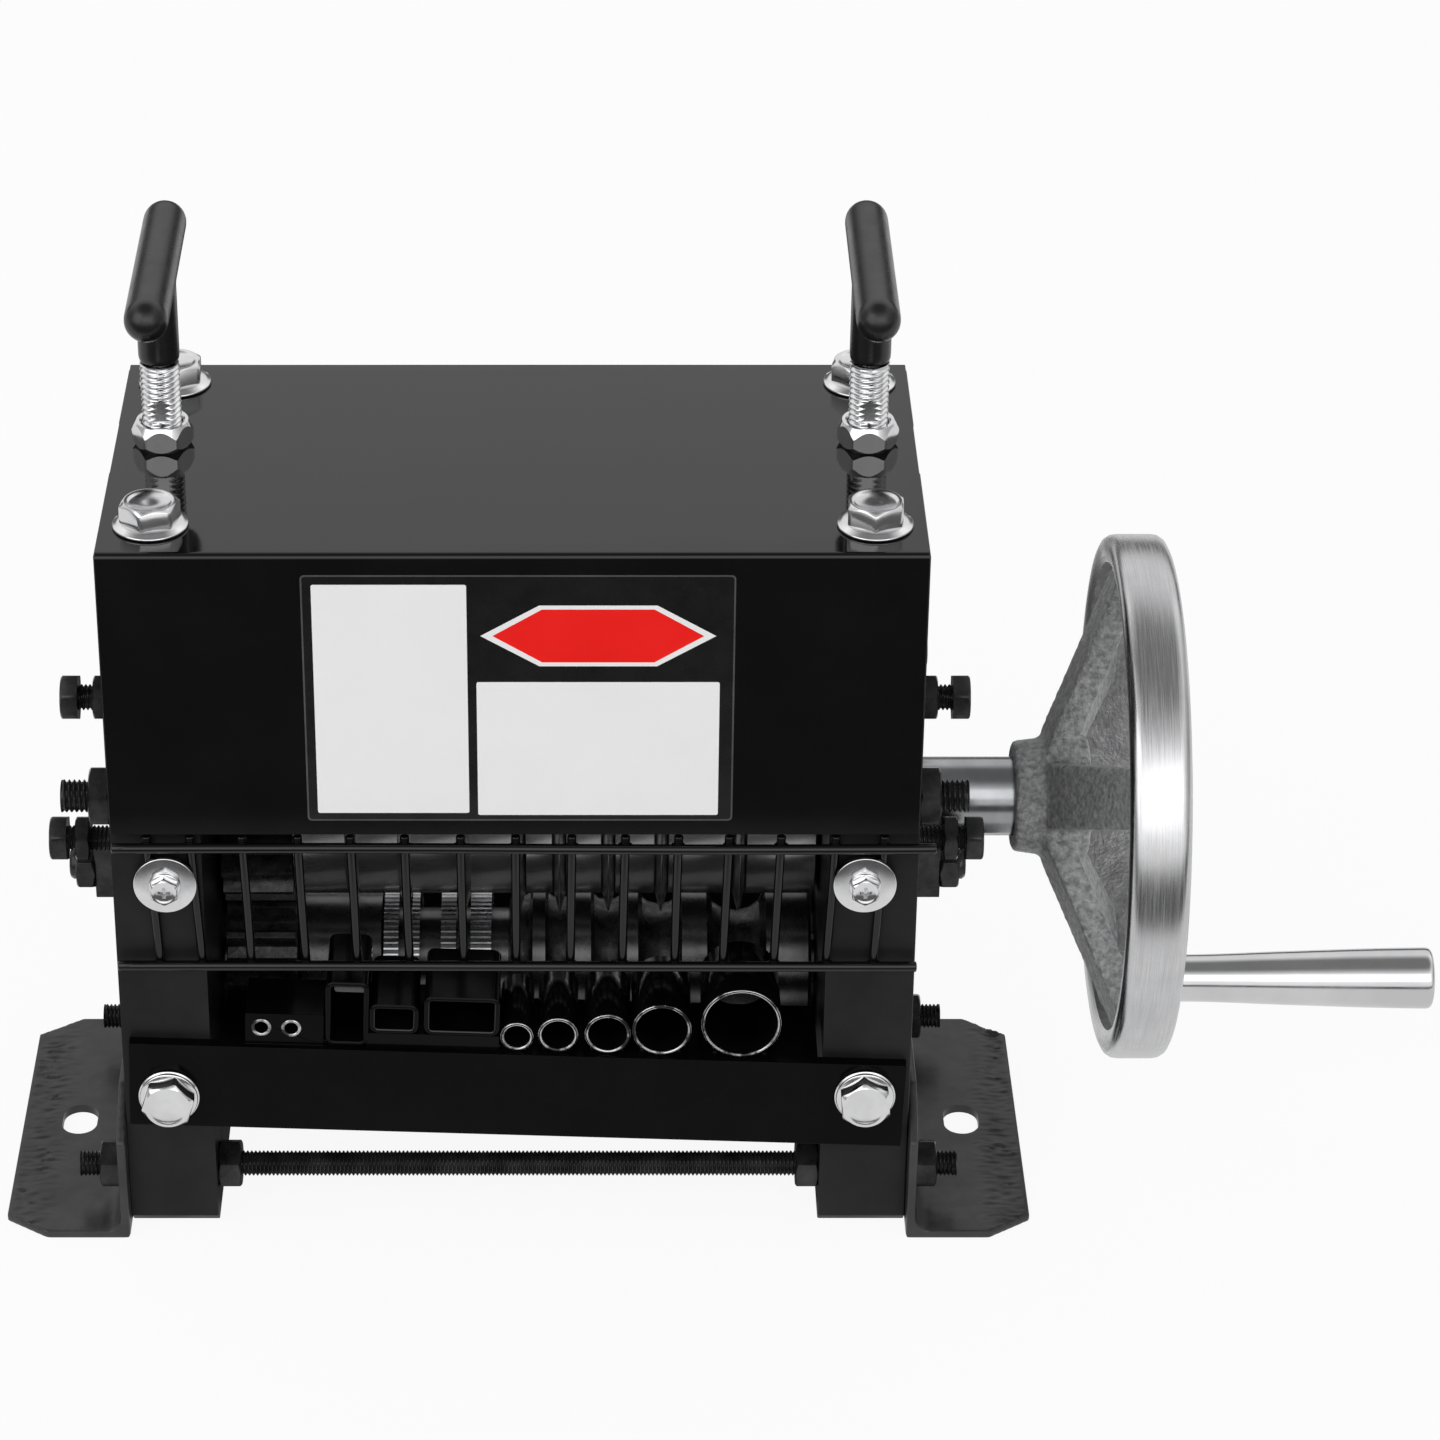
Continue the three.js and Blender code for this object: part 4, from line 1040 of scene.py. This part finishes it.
def foot_shell(side):
    s = Shell()
    s.loft([[(side * (POST_OUTSIDE + a), b, z) for a, b in FOOT_WING] for z in (0.05, 2.95)])
    s.loft([[(side * x, b, z) for b, z in FOOT_WEB] for x in (120.6, 123.4)])
    turns = [k * math.pi / 16 for k in range(9)]
    bend = [(FOOT_PLATE + FOOT_BEND * (1 - math.cos(a)), FOOT_PLATE + FOOT_BEND * (1 - math.sin(a)))
            for a in turns]
    edge = FOOT_PLATE + FOOT_BEND
    bend = [(1.0, 1.0), (1.0, edge)] + bend + [(edge, 1.0)]
    s.loft([[(side * (POST_OUTSIDE + a), y, b) for a, b in bend] for y in (FOOT_FRONT, FOOT_BACK)])
    return s


def raise_ripples(piece, side):
    moved = []
    for v in piece.data.vertices:
        x = side * (v.co.x * 1000 + FRAME_MIDDLE.x) - POST_OUTSIDE
        y, z = v.co.y * 1000 + FRAME_MIDDLE.y, v.co.z * 1000
        top = 2.2 < z < 3.4 and 8 < x < RIPPLE_TO
        lift = foot_ripple(x, y, side) if top else 0.0
        moved.extend((v.co.x, v.co.y, v.co.z + lift / 1000))
    piece.data.vertices.foreach_set("co", moved)
    piece.data.update()


def foot_slot(side):
    """The slot as a solid to cut with: two half circles pulled apart."""
    s = Shell()
    turns = [TAU * k / 48 for k in range(48)]
    ends = [(SLOT_RADIUS * math.cos(a), SLOT_RADIUS * math.sin(a)) for a in turns]
    outline = [(a, b + math.copysign(SLOT_STRETCH, b)) for a, b in ends]
    s.loft([[(side * (SLOT_X + a), SLOT_Y + b, z) for a, b in outline] for z in (-2, 6)])
    return s


def foot(word, side):
    piece = dress(f"foot_{word}", foot_shell(side), ["grey_paint"], weld=False)
    fuse(piece, voxel=0.0007, passes=4)
    raise_ripples(piece, side)
    carve(piece, foot_slot(side), "grey_paint", 50)


# Hand wheel: a rough cast spider inside a ring that is turned bright.
WHEEL = (0, SHAFT_Y, UPPER_Z)
RIM_SIDES = 200
RIM = [
    (73.2, 183.9), (75.2, 183.0), (77.2, 182.65), (79.2, 182.8), (80.8, 183.6), (81.7, 185.0), (81.95, 186.7),
    (81.95, 197.1), (81.7, 198.8), (80.8, 200.2), (79.2, 201.0), (77.2, 201.15), (75.2, 200.8), (73.2, 199.9),
]
HUB = [
    (12.7, 154.1), (16.6, 154.1), (17.3, 155.0), (18.2, 162),
    (19.4, 171), (19.5, 176.5), (18.2, 177.9), (12.7, 177.9),
]
HUB_WEB = disc(13.0, 174.3, 177.9)
FELLOE = [(74.0, 185.0), (76.4, 185.0), (76.4, 198.8), (74.0, 198.8)]
CRANK_BOSS = [(4.3, 184.8), (8.9, 184.8), (8.9, 202.1), (4.3, 202.1)]
SPOKES = 5
SPOKE_TURN = math.radians(30)
SPOKE_FROM = 13.6
SPOKE_TO = 74.6
SPOKE_HALF = 10.4
SPOKE_TAPER = 0.14
SPOKE_STEPS = 12
SPOKE_NEAR = 163.6
SPOKE_FAR = 173.4
CAST_REACH = 72.6
CAST_GRAIN = 0.00005
CAST_PITS = 0.00004


def wheel_rim():
    s = Shell()
    s.lathe("x", WHEEL, RIM, RIM_SIDES, ring=True)
    s.repaint((len(RIM) - 1) * RIM_SIDES, RIM_SIDES, 1)
    make("wheel_rim", s, ["wheel_bright", "wheel_inner"], "cutter", smooth=45)


def slant(r, start, stop, low, high):
    """Runs from low to high while r runs from start to stop."""
    return low + (high - low) * (r - start) / (stop - start)


def spoke_rows(angle):
    """A tapered spoke that slants from the hub out to the rim."""
    cos, sin = math.cos(angle), math.sin(angle)
    rows = []
    for t in [k / SPOKE_STEPS for k in range(SPOKE_STEPS + 1)]:
        r = SPOKE_FROM + (SPOKE_TO - SPOKE_FROM) * t
        half = SPOKE_HALF * (1 - SPOKE_TAPER * t)
        near = max(SPOKE_NEAR, slant(r, 18.5, 76.0, SPOKE_NEAR, 185.4))
        far = max(SPOKE_FAR, slant(r, 21, 70, SPOKE_FAR, 192.1))
        corners = ((near, -half), (near, half), (far, half), (far, -half))
        rows.append([(x, SHAFT_Y - cos * r + sin * k, UPPER_Z + sin * r + cos * k) for x, k in corners])
    return rows


def roughen(cast):
    """Moves the skin of the casting in and out a little, except where the rim's ring covers it."""
    draw = random.Random(5)
    normals = [v.normal.copy() for v in cast.data.vertices]
    moved = []
    for v, n in zip(cast.data.vertices, normals):
        x, y, z = v.co.x * 1000, v.co.y * 1000, v.co.z * 1000
        grain = math.sin(x * 1.9 + y * 1.3) * math.sin(y * 2.1 - z * 1.7) * math.sin(z * 1.5 + x * 1.1)
        inside = math.hypot(y, z - UPPER_Z) < CAST_REACH
        step = CAST_GRAIN * grain + draw.uniform(-CAST_PITS, CAST_PITS) if inside else 0.0
        moved.extend(v.co + n * step)
    cast.data.vertices.foreach_set("co", moved)
    cast.data.update()


def wheel_spider():
    s = Shell()
    s.lathe("x", WHEEL, FELLOE, 160, ring=True)
    s.lathe("x", WHEEL, HUB, 96, ring=True)
    s.lathe("x", WHEEL, HUB_WEB, 64)
    for i in range(SPOKES):
        s.loft(spoke_rows(SPOKE_TURN + i * TAU / SPOKES))
    s.lathe("x", (0, SHAFT_Y, CRANK_Z), CRANK_BOSS, 48, ring=True)
    cast = make("wheel_spider", s, ["cast_grey"], "cutter", weld=False)
    fuse(cast, voxel=0.00105, passes=5)
    roughen(cast)
    shade(cast.data, 80)
    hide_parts("hand_wheel")


# Blank decal on the cover: two plain white panels and a red bar, on black inside a thin border.
DECAL_FINISH = ["decal_edge", "decal_black", "decal_white", "decal_red"]


def panel(left, right, low, high, corner=0.6):
    x, z = (left + right) / 2, (low + high) / 2
    outline = rounded_rect((right - left) / 2, (high - low) / 2, corner, 3)
    return [(x + a, z + b) for a, b in outline]


def long_hexagon(left, right, low, high, flat_from, flat_to):
    middle = (low + high) / 2
    lower = [(left, middle), (flat_from, low), (flat_to, low)]
    return lower + [(right, middle), (flat_to, high), (flat_from, high)]


# Each layer: its outline, how far it stands in front of the cover, its back, and its film.
DECAL_LAYERS = (
    (panel(-61.2, 64.5, 149.4, 231.9, 1.2), 0.10, 0.02, 0),
    (panel(-60.7, 64.0, 149.9, 231.4, 1.0), 0.12, 0.0, 1),
    (panel(-58.1, -13.3, 152.1, 228.8), 0.16, 0.0, 2),
    (panel(-10.7, 60.2, 151.4, 196.6), 0.16, 0.0, 2),
    (long_hexagon(-9.4, 59.0, 201.9, 222.0, 7.7, 41.9), 0.15, 0.0, 2),
    (long_hexagon(-5.9, 55.5, 203.2, 220.7, 8.5, 41.1), 0.18, 0.0, 3),
)


def blank_decal():
    s = Shell()
    for outline, proud, back, film in DECAL_LAYERS:
        s.loft([[(x, y, z) for x, z in outline] for y in (back, -proud)], film)
    make("blank_decal", s, DECAL_FINISH, "frame", smooth=0)


def pieces():
    for build in (flange_bolts, guard_screw, tee_handle, side_bolts):
        for word, side in SIDES:
            build(word, side)
    for name, *sizes, nut in RODS:
        tie_rod(name, *sizes, **nut)
    for i, (x, r) in enumerate(FEEDS):
        feed_pipe(f"round_feed_{i + 1}", x - PIPE_SHIFT, r)
    flat_feed()
    fine_mouths()
    weld_beads()
    wire_guard()
    feed_roller()
    crank_grip()
    for word, side in SIDES:
        foot(word, side)
    wheel_rim()
    wheel_spider()
    blank_decal()


# Studio, in metres: white paper on the floor, a soft room and two lamps.
WHITE = (1, 1, 1, 1)
PAPER = (0.9, 0.9, 0.9, 1)
PAPER_REACH = 6.0
# Share of the paper that the camera sees as pure white; the rest keeps the shadows.
PAPER_GLOW = 0.92
# What metal mirrors of the paper: its front edge, its shade below the machine, and their levels.
PAPER_FRONT = (-0.322, -0.262)
PAPER_LEVELS = (0.10, 0.80)
SHADE_FRONT = (-0.075, -0.055)
SHADE_SIDE = (0.11, 0.14)
SHADE_LEVEL = 0.12


def mirrored_paper(t):
    """The paper as metal mirrors it: it ends in front of the machine and is dark below it."""
    place = axes_of(t, "Object")
    front = ramp(t, place["Y"], *PAPER_FRONT, *PAPER_LEVELS)
    ahead = ramp(t, place["Y"], *SHADE_FRONT, 1.0, SHADE_LEVEL)
    off_middle = combine(t, "ABSOLUTE", combine(t, "ADD", place["X"], -at(0, 0, 0).x))
    beside = ramp(t, off_middle, *SHADE_SIDE, SHADE_LEVEL, 1.0)
    glow = node(t, "ShaderNodeEmission")
    level = combine(t, "MULTIPLY", front, combine(t, "MAXIMUM", ahead, beside))
    t.links.new(level, glow.inputs["Strength"])
    return glow


def floor_material():
    m, t, b = new_material("floor_white")
    b.inputs["Base Color"].default_value = PAPER
    b.inputs["Roughness"].default_value = 0.9
    path = node(t, "ShaderNodeLightPath")
    lit = mix_shaders(t, path.outputs["Is Glossy Ray"], b, mirrored_paper(t))
    seen = node(t, "ShaderNodeEmission", Strength=1.0)
    out = mix_shaders(t, combine(t, "MULTIPLY", path.outputs["Is Camera Ray"], PAPER_GLOW), lit, seen)
    t.links.new(out.outputs[0], t.nodes["Material Output"].inputs["Surface"])
    return m


def lay_floor():
    mesh = bpy.data.meshes.new("studio_floor")
    corners = [(x * PAPER_REACH, y * PAPER_REACH, 0) for x, y in ((-1, -1), (1, -1), (1, 1), (-1, 1))]
    mesh.from_pydata(corners, [], [(0, 1, 2, 3)])
    floor = bpy.data.objects.new("studio_floor", mesh)
    bpy.context.collection.objects.link(floor)
    paint(floor, floor_material())


def room_level(t):
    """Brightness of the room: a darker ceiling, darker sides, and little light low behind."""
    way = axes_of(t, "Generated")
    ceiling = ramp(t, way["Z"], 0.72, 0.93, 1.08, 0.22)
    behind = ramp(t, way["Y"], 0.55, 0.75, 0.0, 1.0)
    low = ramp(t, way["Z"], 0.20, 0.34, 1.0, 0.0)
    low_back = ramp(t, combine(t, "MULTIPLY", behind, low), 0.0, 1.0, 1.0, 0.12)
    back_wall = ramp(t, behind, 0.0, 1.0, 1.0, 0.80)
    side_walls = ramp(t, combine(t, "ABSOLUTE", way["X"]), 0.60, 0.92, 1.0, 0.40)
    back = combine(t, "MULTIPLY", low_back, back_wall)
    return combine(t, "MULTIPLY", combine(t, "MULTIPLY", ceiling, back), side_walls)


def light_room():
    world = bpy.data.worlds.new("studio")
    bpy.context.scene.world = world
    world.use_nodes = True
    t = world.node_tree
    light = t.nodes["Background"]
    light.inputs["Color"].default_value = WHITE
    t.links.new(room_level(t), light.inputs["Strength"])
    seen = node(t, "ShaderNodeBackground", Color=WHITE, Strength=1.0)
    path = node(t, "ShaderNodeLightPath")
    out = mix_shaders(t, path.outputs["Is Camera Ray"], light, seen)
    t.links.new(out.outputs[0], t.nodes["World Output"].inputs["Surface"])


# Each lamp: its name, place, width, height and power.
LAMPS = (
    ("key_left", (-1.4, -1.1, 1.2), 1.5, 1.5, 7),
    ("key_front", (0.3, -1.9, 1.25), 2.4, 1.1, 7),
)
LAMP_TARGET = Vector((0, 0, 0.12))


def hang_lamp(name, place, width, height, power):
    """A soft box aimed at the middle of the machine."""
    data = bpy.data.lights.new(name, "AREA")
    data.shape = "RECTANGLE"
    data.size, data.size_y, data.energy = width, height, power
    lamp = bpy.data.objects.new(name, data)
    lamp.location = place
    lamp.rotation_euler = (LAMP_TARGET - Vector(place)).to_track_quat("-Z", "Y").to_euler()
    bpy.context.collection.objects.link(lamp)


# The photo's camera: focal length and middle in pixels of a square picture, place in millimetres.
PICTURE_PIXELS = 1440
FOCAL_PIXELS = 4727.8
MIDDLE_PIXEL = 592.1
SENSOR = 36.0
CAMERA_PLACE = (23.0, -1197.9, 876.5)
CAMERA_DOWN = 30.04


def set_camera():
    data = bpy.data.cameras.new("camera")
    data.sensor_width = SENSOR
    data.lens = FOCAL_PIXELS / PICTURE_PIXELS * SENSOR
    data.shift_x = (PICTURE_PIXELS / 2 - MIDDLE_PIXEL) / PICTURE_PIXELS
    data.clip_end = 50
    camera = bpy.data.objects.new("camera", data)
    camera.location = at(*CAMERA_PLACE)
    camera.rotation_euler = (math.radians(90 - CAMERA_DOWN), 0, 0)
    bpy.context.collection.objects.link(camera)
    bpy.context.scene.camera = camera


dress_nodes()
pieces()
lay_floor()
light_room()
for values in LAMPS:
    hang_lamp(*values)
set_camera()
bpy.context.scene.view_settings.view_transform = "Standard"
